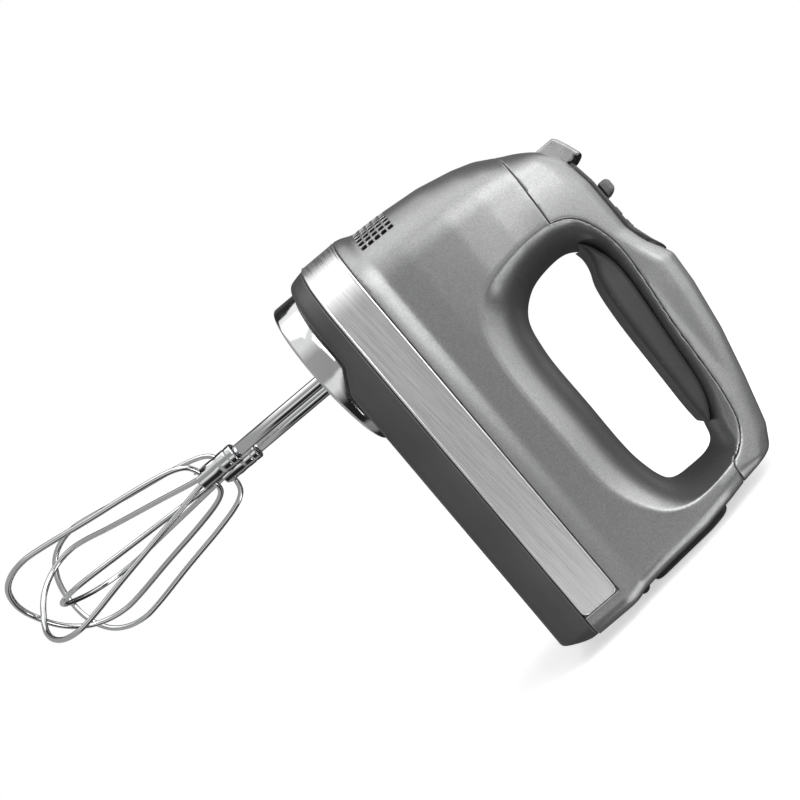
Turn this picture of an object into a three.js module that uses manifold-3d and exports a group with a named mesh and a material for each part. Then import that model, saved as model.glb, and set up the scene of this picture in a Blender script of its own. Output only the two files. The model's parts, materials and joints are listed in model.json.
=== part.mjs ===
// Electric hand mixer with two wire beaters, as an assembly of separate pieces. Millimetres.
//
// The pieces are modelled in the mixer's working frame: x runs rearward, y to the mixer's right and z up,
// with the beater axes at x = 0 and the collar's rim at z = 0. The exported group turns that frame so that
// the mixer stands on the heel pad of its rear face, with the pad's centre at the origin and +Z up.

import * as THREE from 'three';
import { LoftGeometry } from 'three/addons/geometries/LoftGeometry.js';
import { RoundedBoxGeometry } from 'three/addons/geometries/RoundedBoxGeometry.js';
import { mergeVertices } from 'three/addons/utils/BufferGeometryUtils.js';
import Module from 'manifold-3d';

const wasm = await Module();
wasm.setup();

// ---------- driving dimensions ----------

const GAP = 0.3;            // clearance between pieces that rest on each other
const WALL = 2.2;           // wall of the moulded housings

const BAND_BOTTOM = 22.3;
const BAND_TOP = 40.5;
const BAND_THICKNESS = 1.1;
const BAND_REAR = 150.8;    // where the band's two arms end
const HALF_WIDTH = 45;      // at the band, the widest place
const NOSE_FRONT = -45.8;
const REAR = 161.6;
const NOSE_CENTRE = -6.7;   // the nose is half an ellipse in plan, centred here
const REAR_CORNER = 8;      // plan radius of the rear corners

const COLLAR_RADIUS = 38.8;
const COLLAR_X = -1;
const COLLAR_TOP = 12.6;

const BEATER_Y = 14;        // half the spacing of the two beater axes
const SHAFT_RADIUS = 3;
const EJECT_TRAVEL = 9;

const MOTOR_Z = 50;         // height of the armature's axis

// The heel pad's outer face: a point on it in the working frame, and its lean from upright.
const HEEL_CENTRE = new THREE.Vector3(162.9, 0, 77);
const HEEL_TILT = THREE.MathUtils.degToRad(4);
const HEEL_HALF = [25, 22.5];       // half its width and half its height

// The cord swivel turns about the upright line through this point.
const SWIVEL = new THREE.Vector3(160.4, 0, 48.3);

// Each level of the body: height, half-width, front and rear.
const LEVELS = [
  [BAND_BOTTOM, HALF_WIDTH, NOSE_FRONT, REAR],
  [40.8, HALF_WIDTH, NOSE_FRONT, REAR],
  [44.5, 44.2, -45.1, 161.4],
  [49, 42.2, -42.9, 160.4],
  [63, 42, -42.3, 158.9],
  [85, 40.7, -40.1, 157.7],
  [102, 38.7, -36.3, 155.9],
  [112, 37, -32.9, 154.8],
  [118, 35.6, -29.3, 154.1],
];

// Height of the body's crown over x, from the nose, over the control panel and along the handle.
const CROWN = [
  [-17.7, 140], [-3, 146], [10, 148], [36, 148.5], [47, 152], [58, 157],
  [74, 155.8], [98, 151.8], [121, 146], [144, 139.3], [152.3, 134],
];

// Half-width over height above the levels: the front column, and the slimmer handle and rear column.
const FRONT_WIDTH = [[85, 40.7], [102, 38.7], [118, 35.6], [131, 30], [140, 26], [158, 22]];
const HANDLE_WIDTH = [[85, 40.7], [102, 36], [112, 31.5], [125, 25.5], [137, 20.8], [158, 20]];

// Front and rear of the sheets between the last level (0) and the crown (1).
const SHEET_FRONT = [[0, -29.3], [0.2, -26], [0.6, -22], [1, -17.7]];
const SHEET_REAR = [[0, 154.1], [1, 152.3]];
const SHEETS = [0.3, 0.58, 0.78, 0.92, 1];
const CROWN_DEPTH = 13;
const CROWN_POWER = 2.4;

// The handle's opening: pairs of points (x, z) on the centre plane and on the body's side, where its scoop
// begins.
const OPENING = [
  [85, 82.6, 85, 63.2], [54, 83, 50, 63.8], [38, 86.8, 31, 68.6], [28.8, 96.8, 20.5, 77],
  [25.4, 110, 15.6, 97], [26, 121, 15.2, 117], [32, 128.4, 19.5, 128], [46, 131.3, 37.5, 136.6],
  [85, 128, 85, 133.1], [113, 124.3, 120, 130], [128, 118.8, 134.5, 126], [138, 115.8, 142.6, 117.5],
  [143, 106, 144.6, 105], [142.6, 97, 144.4, 88], [137, 89, 139, 76], [121, 83.6, 120, 65],
];
const SCOOP_CURVE = 0.75;   // share of a quarter ellipse that the scoop's section runs through

// The top cover's seam follows the opening between these fractions of its outline.
const SEAM_FIRST = 5.1 / 16;
const SEAM_LAST = 11.35 / 16;

// ---------- helpers ----------

// Straight-line interpolation in a table of [x, value] rows.
function lookUp(table, x) {
  let i = 1;
  while (i < table.length - 1 && x > table[i][0]) i += 1;
  const [x0, v0] = table[i - 1];
  const [x1, v1] = table[i];
  const value = v0 + ((v1 - v0) * (x - x0)) / (x1 - x0);
  return THREE.MathUtils.clamp(value, Math.min(v0, v1), Math.max(v0, v1));
}

// A three.js geometry as a manifold solid.
function solid(geometry) {
  const bare = new THREE.BufferGeometry();
  bare.setAttribute('position', geometry.getAttribute('position'));
  bare.setIndex(geometry.index);
  const merged = mergeVertices(bare, 1e-4);
  const index = merged.index.array;
  const triangles = [];
  for (let i = 0; i < index.length; i += 3) {
    const [a, b, c] = [index[i], index[i + 1], index[i + 2]];
    if (a !== b && b !== c && c !== a) triangles.push(a, b, c);
  }
  return new wasm.Manifold(new wasm.Mesh({
    numProp: 3,
    vertProperties: merged.getAttribute('position').array,
    triVerts: new Uint32Array(triangles),
  }));
}

function place(made, x, y, z) {
  return made.translate([x, y, z]);
}

function box(x0, x1, y0, y1, z0, z1) {
  const shape = new THREE.BoxGeometry(x1 - x0, y1 - y0, z1 - z0);
  return place(solid(shape), (x0 + x1) / 2, (y0 + y1) / 2, (z0 + z1) / 2);
}

function roundedBox(x0, x1, y0, y1, z0, z1, radius, segments = 2) {
  const shape = new RoundedBoxGeometry(x1 - x0, y1 - y0, z1 - z0, segments, radius);
  return place(solid(shape), (x0 + x1) / 2, (y0 + y1) / 2, (z0 + z1) / 2);
}

// A solid of revolution about a vertical axis through (x, y), from a closed profile of [radius, z] rows.
function turned(profile, x, y, segments = 20) {
  const points = profile.map(([r, z]) => new THREE.Vector2(r, z));
  points.push(points[0].clone());
  return place(solid(new THREE.LatheGeometry(points, segments)).rotate([90, 0, 0]), x, y, 0);
}

function ring(outer, inner, z0, z1, x, y, segments = 20) {
  return turned([[inner, z0], [outer, z0], [outer, z1], [inner, z1]], x, y, segments);
}

function rod(radius, z0, z1, x, y, segments = 20) {
  return turned([[0, z0], [radius, z0], [radius, z1], [0, z1]], x, y, segments);
}

// The same solid laid along x, with its axis at the armature's.
function alongX(made) {
  return place(made.rotate([0, 90, 0]), 0, 0, MOTOR_Z);
}

// A prism across the mixer from an outline of [x, z] rows.
function prism(outline, y0, y1) {
  const shape = new THREE.Shape(outline.map(([x, z]) => new THREE.Vector2(x, z)));
  const extruded = new THREE.ExtrudeGeometry(shape, { depth: y1 - y0, bevelEnabled: false });
  return place(solid(extruded).rotate([90, 0, 0]), 0, y1, 0);
}

// A prism up from z0 to z1 from an outline of [x, y] rows.
function slab(outline, z0, z1) {
  const shape = new THREE.Shape(outline.map(([x, y]) => new THREE.Vector2(x, y)));
  return place(solid(new THREE.ExtrudeGeometry(shape, { depth: z1 - z0, bevelEnabled: false })), 0, 0, z0);
}

// A round bar along a curve.
function bar(curve, radius, steps, sides = 6) {
  const circle = new THREE.Shape();
  circle.absarc(0, 0, radius, 0, 2 * Math.PI);
  return solid(new THREE.ExtrudeGeometry(circle, {
    steps, curveSegments: sides / 2, extrudePath: curve, bevelEnabled: false,
  }));
}

function loft(sections) {
  return solid(new LoftGeometry(sections, { capStart: true, capEnd: true }));
}

const materials = {
  silver: new THREE.MeshStandardMaterial({ color: 0x8e8f91, roughness: 0.35, metalness: 0.8 }),
  steel: new THREE.MeshStandardMaterial({ color: 0xb9babc, roughness: 0.3, metalness: 1 }),
  chrome: new THREE.MeshStandardMaterial({ color: 0xe2e3e5, roughness: 0.08, metalness: 1 }),
  charcoal: new THREE.MeshStandardMaterial({ color: 0x3c3d3f, roughness: 0.55, metalness: 0 }),
  grip: new THREE.MeshStandardMaterial({ color: 0x3a3a3c, roughness: 0.8, metalness: 0 }),
  panel: new THREE.MeshStandardMaterial({ color: 0x1f2022, roughness: 0.25, metalness: 0 }),
  knob: new THREE.MeshStandardMaterial({ color: 0x55575a, roughness: 0.4, metalness: 0.2 }),
  black: new THREE.MeshStandardMaterial({ color: 0x151515, roughness: 0.6, metalness: 0 }),
  rubber: new THREE.MeshStandardMaterial({ color: 0x1a1a1a, roughness: 0.9, metalness: 0 }),
  nylon: new THREE.MeshStandardMaterial({ color: 0xe6e2d4, roughness: 0.5, metalness: 0 }),
  iron: new THREE.MeshStandardMaterial({ color: 0x5d5f63, roughness: 0.5, metalness: 0.9 }),
  copper: new THREE.MeshStandardMaterial({ color: 0xb56a3c, roughness: 0.35, metalness: 1 }),
  brass: new THREE.MeshStandardMaterial({ color: 0xc2a15a, roughness: 0.35, metalness: 1 }),
  board: new THREE.MeshStandardMaterial({ color: 0x1d5a38, roughness: 0.6, metalness: 0 }),
  window: new THREE.MeshStandardMaterial({ color: 0x18191c, roughness: 0.1, metalness: 0 }),
};

const pieces = new THREE.Group();

// Adds a manifold solid to the model as a named mesh.
function add(name, material, made) {
  const mesh = made.getMesh();
  const geometry = new THREE.BufferGeometry();
  geometry.setAttribute('position', new THREE.BufferAttribute(mesh.vertProperties, 3));
  geometry.setIndex(new THREE.BufferAttribute(mesh.triVerts, 1));
  geometry.computeVertexNormals();
  const piece = new THREE.Mesh(geometry, materials[material].clone());
  piece.name = name;
  pieces.add(piece);
}

// ---------- the body's outer form ----------

function sideWidth(x, z) {
  const towardsHandle = THREE.MathUtils.smoothstep(x, 0, 60);
  return THREE.MathUtils.lerp(lookUp(FRONT_WIDTH, z), lookUp(HANDLE_WIDTH, z), towardsHandle);
}

// Half of a plan section, from the nose's tip along the right side to the rear's centre. A section's width
// and height may change along x.
const NOSE_STEPS = 6;
const SIDE_STATIONS = [14, 36, 47, 58, 98, 121, 144];

function planSection(front, rear, widthAt, heightAt) {
  const half = [];
  for (let i = 0; i <= NOSE_STEPS; i += 1) {
    const angle = (i / NOSE_STEPS) * (Math.PI / 2);
    const x = NOSE_CENTRE - (NOSE_CENTRE - front) * Math.cos(angle);
    half.push([x, widthAt(x) * Math.sin(angle)]);
  }
  SIDE_STATIONS.forEach((x) => half.push([x, widthAt(x)]));
  const width = widthAt(rear - REAR_CORNER);
  const corner = Math.min(REAR_CORNER, 0.8 * width);
  for (let i = 0; i <= 3; i += 1) {
    const angle = (i / 3) * (Math.PI / 2);
    half.push([rear - corner + corner * Math.sin(angle), width - corner + corner * Math.cos(angle)]);
  }
  const right = half.map(([x, y]) => new THREE.Vector3(x, y, heightAt(x)));
  const left = half.slice(1).reverse().map(([x, y]) => new THREE.Vector3(x, -y, heightAt(x)));
  return [...right, ...left].reverse();
}

// The body's outer form, drawn in by inset on every side but its open bottom.
function bodyForm(inset) {
  const levels = LEVELS.filter((_, i) => inset <= 0 || i % 2 === 0);
  const sections = levels.map(([z, width, front, rear], level) => planSection(
    front + inset, rear - inset,
    (x) => (z < FRONT_WIDTH[0][0] ? width : sideWidth(x, z)) - inset,
    () => (level === 0 && inset > 0 ? z - 5 : z),
  ));
  const base = LEVELS[LEVELS.length - 1][0];
  SHEETS.forEach((t) => {
    const crown = (x) => lookUp(CROWN, x) - inset;
    const height = (x) => base + (crown(x) - base) * t;
    const width = (x) => {
      const depth = Math.min(crown(x) - height(x), CROWN_DEPTH) / CROWN_DEPTH;
      const round = (1 - (1 - depth) ** CROWN_POWER) ** (1 / CROWN_POWER);
      return (sideWidth(x, height(x)) - inset) * round;
    };
    sections.push(planSection(lookUp(SHEET_FRONT, t) + inset, lookUp(SHEET_REAR, t) - inset, width, height));
  });
  return solid(new LoftGeometry(sections, { capStart: true }));
}

// ---------- the handle's opening ----------

const openingCurves = [[0, 1], [2, 3]].map(([i, j]) => new THREE.CatmullRomCurve3(
  OPENING.map((row) => new THREE.Vector3(row[i], 0, row[j])), true, 'centripetal',
));
const SCOOP_ROWS = [0, 0.12, 0.33, 0.62, 1];
const BEYOND = 30;          // how far the cutter runs past the body's side

function scoopDepth(s) {
  return Math.sqrt(1 - (1 - SCOOP_CURVE * s) ** 2) / Math.sqrt(1 - (1 - SCOOP_CURVE) ** 2);
}

// A point of the opening's centre or side outline, moved outward in its plane.
function outlinePoint(curve, fraction, outward) {
  const point = curve.getPoint(fraction % 1);
  const tangent = curve.getTangent(fraction % 1);
  return point.add(new THREE.Vector3(tangent.z, 0, -tangent.x).multiplyScalar(-outward));
}

// The solid that cuts the opening and its scooped sides, grown outward in its plane.
function openingCutter(outward, steps = 32) {
  const shares = [-2, ...SCOOP_ROWS.slice(1).reverse().map((s) => -s), ...SCOOP_ROWS, 2];
  return loft(shares.map((s) => {
    const points = [];
    for (let i = 0; i < steps; i += 1) {
      const inner = outlinePoint(openingCurves[0], i / steps, outward);
      const outer = outlinePoint(openingCurves[1], i / steps, outward);
      const width = sideWidth(outer.x, outer.z);
      const point = inner.lerp(outer, Math.min(Math.abs(s), 1));
      point.y = Math.sign(s) * (Math.abs(s) > 1 ? width + BEYOND : width * scoopDepth(Math.abs(s)));
      points.push(point);
    }
    return points;
  }));
}

// The prism above the seam between the top cover and the upper housing, with its lower side moved down.
function aboveSeam(down) {
  const outline = [[-70, 123.2 - down], [15, 118.2 - down]];
  for (let i = 0; i <= 24; i += 1) {
    const fraction = SEAM_FIRST + ((SEAM_LAST - SEAM_FIRST) * i) / 24;
    const point = outlinePoint(openingCurves[1], fraction, 0.1 - down);
    outline.push([point.x, point.z]);
  }
  outline.push([146, 112 - down], [175, 110.4 - down], [175, 185], [-70, 185]);
  return prism(outline, -70, 70);
}

// ---------- housings ----------

// The lower housing's side outline (x, z), drawn in by inset.
function tubSide(inset) {
  const top = BAND_BOTTOM - GAP + (inset > 0 ? 10 : 0);
  return [
    [-60, 13 + inset], [7.5 + inset * 0.4, 13 + inset], [18 + inset * 0.4, 6.6 + inset],
    [155.4 - inset, 6.6 + inset], [161.2 - inset, 18 + inset * 0.6], [161.2 - inset, top], [-60, top],
  ];
}

// The lower housing's outer form, drawn in by inset on every side but its open top.
function tubForm(inset) {
  const levels = [
    [6, 40, -40.6], [8.5, 41.6, -41.4], [13, 43, -42.9], [17, 44, -44],
    [BAND_BOTTOM - GAP, 44.6, -45], [BAND_BOTTOM + 20, 44.6, -45],
  ];
  const sections = levels.map(([z, width, front]) => planSection(
    front + inset, 161.2 - inset, () => width - inset, () => z,
  ));
  return loft(sections).intersect(prism(tubSide(inset), -60, 60));
}

// Every housing screw stands under a corner of the tub: its x and y.
const SCREWS = [[34, -33], [34, 33], [140, -33], [140, 33]];
const SCREW_HEAD = 3.6;
const SCREW_SHANK = 1.7;

function housings() {
  const outside = bodyForm(0).subtract(openingCutter(0));
  const backing = box(153.8, 175, -34, 34, 38, 58);
  const hollow = bodyForm(WALL).subtract(openingCutter(WALL, 16)).subtract(backing);
  const shell = outside.subtract(hollow);
  const swivelGroove = roundedBox(SWIVEL.x - 4, 190, -32, 32, 43, 53.6, 2);
  const swivelSocket = rod(4.6, 43, 53.6, SWIVEL.x, 0, 32);
  const heelSeat = heelBlock(GAP, 7);

  let upper = shell.subtract(aboveSeam(GAP)).subtract(bandRecess()).subtract(heelSeat);
  upper = upper.subtract(swivelGroove).subtract(swivelSocket).subtract(ventHoles());
  add('upper_housing', 'silver', upper);

  const buttonHole = box(BUTTON.x0 - GAP, BUTTON.x1 + GAP, -BUTTON.y - GAP, BUTTON.y + GAP, 124, 180);
  const cover = shell.intersect(aboveSeam(0)).subtract(panelPrism(GAP)).subtract(buttonHole);
  add('top_cover', 'silver', cover);

  let tub = tubForm(0).subtract(tubForm(WALL));
  [-1, 1].forEach((side) => {
    tub = tub.subtract(rod(5.6, 0, 30, 0, side * BEATER_Y));
  });
  SCREWS.forEach(([x, y]) => {
    tub = tub.add(rod(5.2, 7.5, 20, x, y, 16));
  });
  SCREWS.forEach(([x, y]) => {
    tub = tub.subtract(rod(SCREW_HEAD + GAP, 0, 10, x, y, 16));
    tub = tub.subtract(rod(SCREW_SHANK + 0.2, 0, 30, x, y, 12));
  });
  add('lower_housing', 'charcoal', tub);
  SCREWS.forEach(([x, y], i) => {
    const head = turned([[0, 7.2], [SCREW_HEAD, 7.2], [SCREW_HEAD, 8.6], [2.4, 9.7], [0, 9.7]], x, y, 16);
    const slot = box(x - 2.4, x + 2.4, y - 0.4, y + 0.4, 7, 8.1);
    const cross = box(x - 0.4, x + 0.4, y - 2.4, y + 2.4, 7, 8.1);
    const screw = head.add(rod(SCREW_SHANK, 9.5, 26, x, y, 12)).subtract(slot).subtract(cross);
    add(`housing_screw_${i + 1}`, 'iron', screw);
  });
}

// ---------- trim band ----------

const BAND_EDGE = 0.6;      // bevel along the band's edges
const BAND_CORNER = 2.5;    // radius at the ends of its arms

// The body's plan at the band, as a solid through levels of [z, inset]. It runs on past the body's rear.
function bandPlan(levels) {
  return loft(levels.map(([z, inset]) => planSection(
    NOSE_FRONT + inset, REAR + 30, () => HALF_WIDTH - inset, () => z,
  )));
}

function bandRecess() {
  const [z0, z1] = [BAND_BOTTOM - 1, BAND_TOP + GAP];
  const depth = BAND_THICKNESS + GAP;
  const around = bandPlan([[z0, -5], [z1, -5]]).subtract(bandPlan([[z0 - 1, depth], [z1 + 1, depth]]));
  return around.subtract(box(BAND_REAR + GAP, 200, -60, 60, 0, 60));
}

function trimBand() {
  const [z0, z1] = [BAND_BOTTOM, BAND_TOP];
  const outside = bandPlan([[z0, BAND_EDGE], [z0 + BAND_EDGE, 0], [z1 - BAND_EDGE, 0], [z1, BAND_EDGE]]);
  const inside = bandPlan([[z0 - 1, BAND_THICKNESS], [z1 + 1, BAND_THICKNESS]]);
  const length = roundedBox(-90, BAND_REAR, -60, 60, z0 - 0.01, z1 + 0.01, BAND_CORNER, 3);
  return outside.subtract(inside).intersect(length);
}

// ---------- vent ----------

const VENT_ROWS = 5;
const VENT_PITCH = 3.55;
const VENT_BOTTOM = 51;
const VENT_COLUMNS = 13;
const VENT_TURN = THREE.MathUtils.degToRad(9.2);
const VENT_HOLE = [3.4, 2.4];       // width and height

function ventHoles() {
  const holes = [];
  for (let row = 0; row < VENT_ROWS; row += 1) {
    for (let column = 0; column < VENT_COLUMNS; column += 1) {
      const angle = (column - (VENT_COLUMNS - 1) / 2) * VENT_TURN;
      const hole = solid(new THREE.BoxGeometry(14, VENT_HOLE[0], VENT_HOLE[1]));
      holes.push(hole.translate([-36, 0, VENT_BOTTOM + row * VENT_PITCH])
        .rotate([0, 0, THREE.MathUtils.radToDeg(angle)]).translate([NOSE_CENTRE, 0, 0]));
    }
  }
  return holes.reduce((all, hole) => all.add(hole));
}

function ventBaffle() {
  const plate = ring(33.2, 32.2, 49.5, 66.8, NOSE_CENTRE + 1, 0, 36);
  const wedge = slab([[0, 0], [-40, 68], [-80, 60], [-80, -60], [-40, -68]], 40, 80);
  return plate.intersect(wedge);
}

// ---------- heel, swivel and collar ----------

// The heel pad's block, grown sideways, from depth inside its face out to the face.
function heelBlock(grow, depth) {
  const [halfWidth, halfHeight] = HEEL_HALF;
  const pad = solid(new RoundedBoxGeometry(depth * 2, 2 * (halfWidth + grow), 2 * (halfHeight + grow), 3, 2));
  const half = pad.intersect(box(-depth - 1, 0, -60, 60, -60, 60));
  return half.rotate([0, -THREE.MathUtils.radToDeg(HEEL_TILT), 0]).translate(HEEL_CENTRE.toArray());
}

function heelRest() {
  const seat = bodyForm(-GAP);
  return heelBlock(0, 6.4).subtract(seat);
}

function cordSwivel() {
  const hub = turned([[0, 43.4], [3.6, 43.4], [4.1, 44], [4.1, 52.6], [3.6, 53.2], [0, 53.2]], SWIVEL.x, 0, 24);
  const arm = solid(new THREE.CylinderGeometry(3.5, 3.5, 15, 20)).translate([SWIVEL.x, -9.5, SWIVEL.z]);
  const bore = solid(new THREE.CylinderGeometry(2.6, 2.6, 10, 20)).translate([SWIVEL.x, -13.5, SWIVEL.z]);
  add('cord_swivel', 'rubber', hub.add(arm).subtract(bore));

  let relief = solid(new THREE.CylinderGeometry(2.3, 3.4, 12, 20)).rotate([180, 0, 0]);
  relief = relief.translate([SWIVEL.x, -23.3, SWIVEL.z]);
  const through = solid(new THREE.CylinderGeometry(1.95, 1.95, 40, 16)).translate([SWIVEL.x, -23, SWIVEL.z]);
  add('cord_strain_relief', 'rubber', relief.subtract(through));
  const cord = solid(new THREE.CylinderGeometry(1.75, 1.75, 22, 16)).translate([SWIVEL.x, -20, SWIVEL.z]);
  add('power_cord', 'rubber', cord);
}

function collar() {
  const wall = turned([
    [COLLAR_RADIUS - 2.2, 0.6], [COLLAR_RADIUS - 0.7, 0], [COLLAR_RADIUS, 0.9], [COLLAR_RADIUS, COLLAR_TOP],
    [COLLAR_RADIUS - 2.2, COLLAR_TOP],
  ], COLLAR_X, 0, 48);
  const tub = tubForm(-GAP);
  add('beater_collar', 'chrome', wall.subtract(tub));

  let plate = rod(COLLAR_RADIUS - 2.5, 2.4, 5, COLLAR_X, 0, 40);
  [-1, 1].forEach((side) => {
    plate = plate.add(rod(8, 1, 5, 0, side * BEATER_Y, 20)).subtract(rod(5.5, 0, 6, 0, side * BEATER_Y, 20));
  });
  add('port_plate', 'black', plate);
}

// ---------- grip, panel and controls ----------

// The grip's side outline (x, z): its front tip, the edge under the silver strip, its tail and its underside.
const GRIP_SIDE = [
  [27, 124.6], [30, 127.2], [36, 130], [46, 132.6], [68, 131.6], [91, 129.4], [113, 126.4], [121, 122.8],
  [127, 118.2], [122, 117.4], [98, 117.9], [62, 119.4], [46, 121.6], [38, 124.6], [32, 125.4],
];
const GRIP_HALF = 16;

function grip() {
  const corners = GRIP_SIDE.map(([x, z]) => new THREE.Vector3(x, 0, z));
  const side = new THREE.CatmullRomCurve3(corners, true, 'centripetal');
  const outline = side.getPoints(44).slice(0, -1).map((p) => [p.x, p.z]);
  const centre = [76, 0, 124];
  const slices = [[0.9, GRIP_HALF], [1, GRIP_HALF - 4]];
  let block = prism(outline, -GRIP_HALF + 5, GRIP_HALF - 5);
  slices.forEach(([scale, half]) => {
    const shrunk = outline.map(([x, z]) => [
      centre[0] + (x - centre[0]) * (0.06 * scale + 0.94), centre[2] + (z - centre[2]) * scale + (1 - scale) * 3,
    ]);
    block = block.add(prism(shrunk, -half, half));
  });
  const room = openingCutter(-GAP);
  add('handle_grip', 'grip', block.intersect(room));
}

const PANEL = { x0: -2.6, x1: 54.5, y: 15, proud: 1.5 };
const BUTTON = { x0: -17.2, x1: -3.7, y: 10 };
const SWITCH = { x: 15.1, travel: 5, half: 3.6 };
const SPEED_X = [27, 34.6];         // the two speed buttons, down and up
const SPEED_HALF = [2.3, 6];
const ROD_X = -9.5;
const PLATE_Z = 70.6;          // underside of the ejector plate at rest
const WINDOW = { x0: 0, x1: 7.5, y: 6.5 };

function panelPrism(grow) {
  const shape = new THREE.Shape();
  const [x0, x1, y] = [PANEL.x0 - grow, PANEL.x1 + grow, PANEL.y + grow];
  const r = 4;
  shape.moveTo(x0 + r, -y);
  shape.lineTo(x1 - y, -y);
  shape.quadraticCurveTo(x1, -y * 0.8, x1, 0);
  shape.quadraticCurveTo(x1, y * 0.8, x1 - y, y);
  shape.lineTo(x0 + r, y);
  shape.quadraticCurveTo(x0, y, x0, y - r);
  shape.lineTo(x0, -y + r);
  shape.quadraticCurveTo(x0, -y, x0 + r, -y);
  const extruded = new THREE.ExtrudeGeometry(shape, { depth: 60, bevelEnabled: false, curveSegments: 5 });
  return solid(extruded).translate([0, 0, 128]);
}

function panelAndControls() {
  let panel = panelPrism(0).intersect(bodyForm(-PANEL.proud)).subtract(bodyForm(WALL));
  const slot = [SWITCH.x - 2.3, SWITCH.x + SWITCH.travel + 2.3];
  panel = panel.subtract(box(slot[0], slot[1], -4.3, 4.3, 130, 170));
  panel = panel.subtract(box(WINDOW.x0, WINDOW.x1, -WINDOW.y, WINDOW.y, 146.6, 170));
  SPEED_X.forEach((x) => {
    panel = panel.subtract(box(x - SPEED_HALF[0] - GAP, x + SPEED_HALF[0] + GAP,
      -SPEED_HALF[1] - GAP, SPEED_HALF[1] + GAP, 130, 170));
  });
  add('control_panel', 'panel', panel);

  const pane = box(WINDOW.x0 + GAP, WINDOW.x1 - GAP, -WINDOW.y + GAP, WINDOW.y - GAP, 146.9, 170);
  add('display_window', 'window', pane.intersect(bodyForm(-PANEL.proud)));

  const cap = roundedBox(SWITCH.x - SWITCH.half, SWITCH.x + SWITCH.half, -6.5, 6.5, 150.6, 156.6, 1.6, 2);
  const neck = box(SWITCH.x - 2, SWITCH.x + 2, -4, 4, 139.6, 151.5);
  add('power_switch_knob', 'knob', cap.add(neck));

  ['speed_down_button', 'speed_up_button'].forEach((name, i) => {
    const x = SPEED_X[i];
    const dome = bodyForm(-PANEL.proud - 1.2);
    const button = box(x - SPEED_HALF[0], x + SPEED_HALF[0], -SPEED_HALF[1], SPEED_HALF[1], 141.6, 160);
    add(name, 'knob', button.intersect(dome));
  });

  add('circuit_board', 'board', box(-1, 29, -12, 12, 136.2, 137.8));
  add('display_module', 'black', box(0.5, 7, -6, 6, 138.1, 142.6));
}

function ejector() {
  const side = [[BUTTON.x0, 127], [BUTTON.x1, 127], [BUTTON.x1, 150.6], [-4.6, 151.4], [-3.7, 152.6],
    [-3.7, 154.4], [-5, 154.4], [-11, 152.3], [-15.8, 150.2], [BUTTON.x0, 148.8]];
  const crown = solid(new THREE.CylinderGeometry(24.6, 24.6, 30, 64)).rotate([0, 0, 90]);
  const dome = crown.translate([-10, 0, 129.8]);
  add('ejector_button', 'steel', prism(side, -BUTTON.y, BUTTON.y).intersect(dome));
  add('ejector_rod', 'nylon', rod(2.5, PLATE_Z + 3.3, 126.7, ROD_X, 0));
  add('ejector_plate', 'nylon', roundedBox(ROD_X - 4, 4.5, -18, 18, PLATE_Z, PLATE_Z + 3, 0.8, 1));
  const guide = box(-60, -3, -60, 60, 95, 98).intersect(bodyForm(WALL + GAP));
  add('rod_guide', 'nylon', guide.subtract(rod(2.8, 90, 100, ROD_X, 0)));

  const turns = 6;
  const coil = new THREE.Curve();
  coil.getPoint = (t, target = new THREE.Vector3()) => {
    const angle = t * turns * 2 * Math.PI;
    return target.set(ROD_X + 4 * Math.cos(angle), 4 * Math.sin(angle), THREE.MathUtils.lerp(98.9, 126.1, t));
  };
  add('ejector_spring', 'steel', bar(coil, 0.5, 48, 4));
}

// ---------- drive ----------

const WORM_ROOT = 2.8;
const WORM_TIP = 4.8;
const WORM_LEAD = 2 * Math.PI;      // two starts of module 1
const WORM_HALF = 9.4;
const GEAR_TEETH = 20;
const GEAR_ROOT = 8.85;
const GEAR_TIP = 10.9;
const GEAR_HALF = 4;

// A twisted prism along z: each level is the section turned a little further.
function twisted(section, half, levels, turnPerLength) {
  const sections = [];
  for (let i = 0; i <= levels; i += 1) {
    const z = -half + (2 * half * i) / levels;
    const turn = z * turnPerLength;
    sections.push(section.map(([r, angle]) => new THREE.Vector3(
      r * Math.cos(angle + turn), r * Math.sin(angle + turn), z,
    )));
  }
  return loft(sections);
}

// One tooth or thread of a section, as polar rows [radius, angle], repeated.
function toothed(count, root, tip, rootShare, tipShare) {
  const pitch = (2 * Math.PI) / count;
  const section = [];
  for (let i = 0; i < count; i += 1) {
    const centre = i * pitch;
    section.push([root, centre - rootShare * pitch], [tip, centre - tipShare * pitch]);
    section.push([tip, centre + tipShare * pitch], [root, centre + rootShare * pitch]);
  }
  return section;
}

// The worm's section: two narrow threads on a round core.
function wormSection() {
  const section = [];
  const steps = 14;
  for (let i = 0; i < steps; i += 1) {
    const angle = (i / steps) * 2 * Math.PI;
    const thread = Math.abs(Math.cos(angle)) ** 3;
    section.push([WORM_ROOT + (WORM_TIP - WORM_ROOT) * thread, angle]);
  }
  return section;
}

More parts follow.
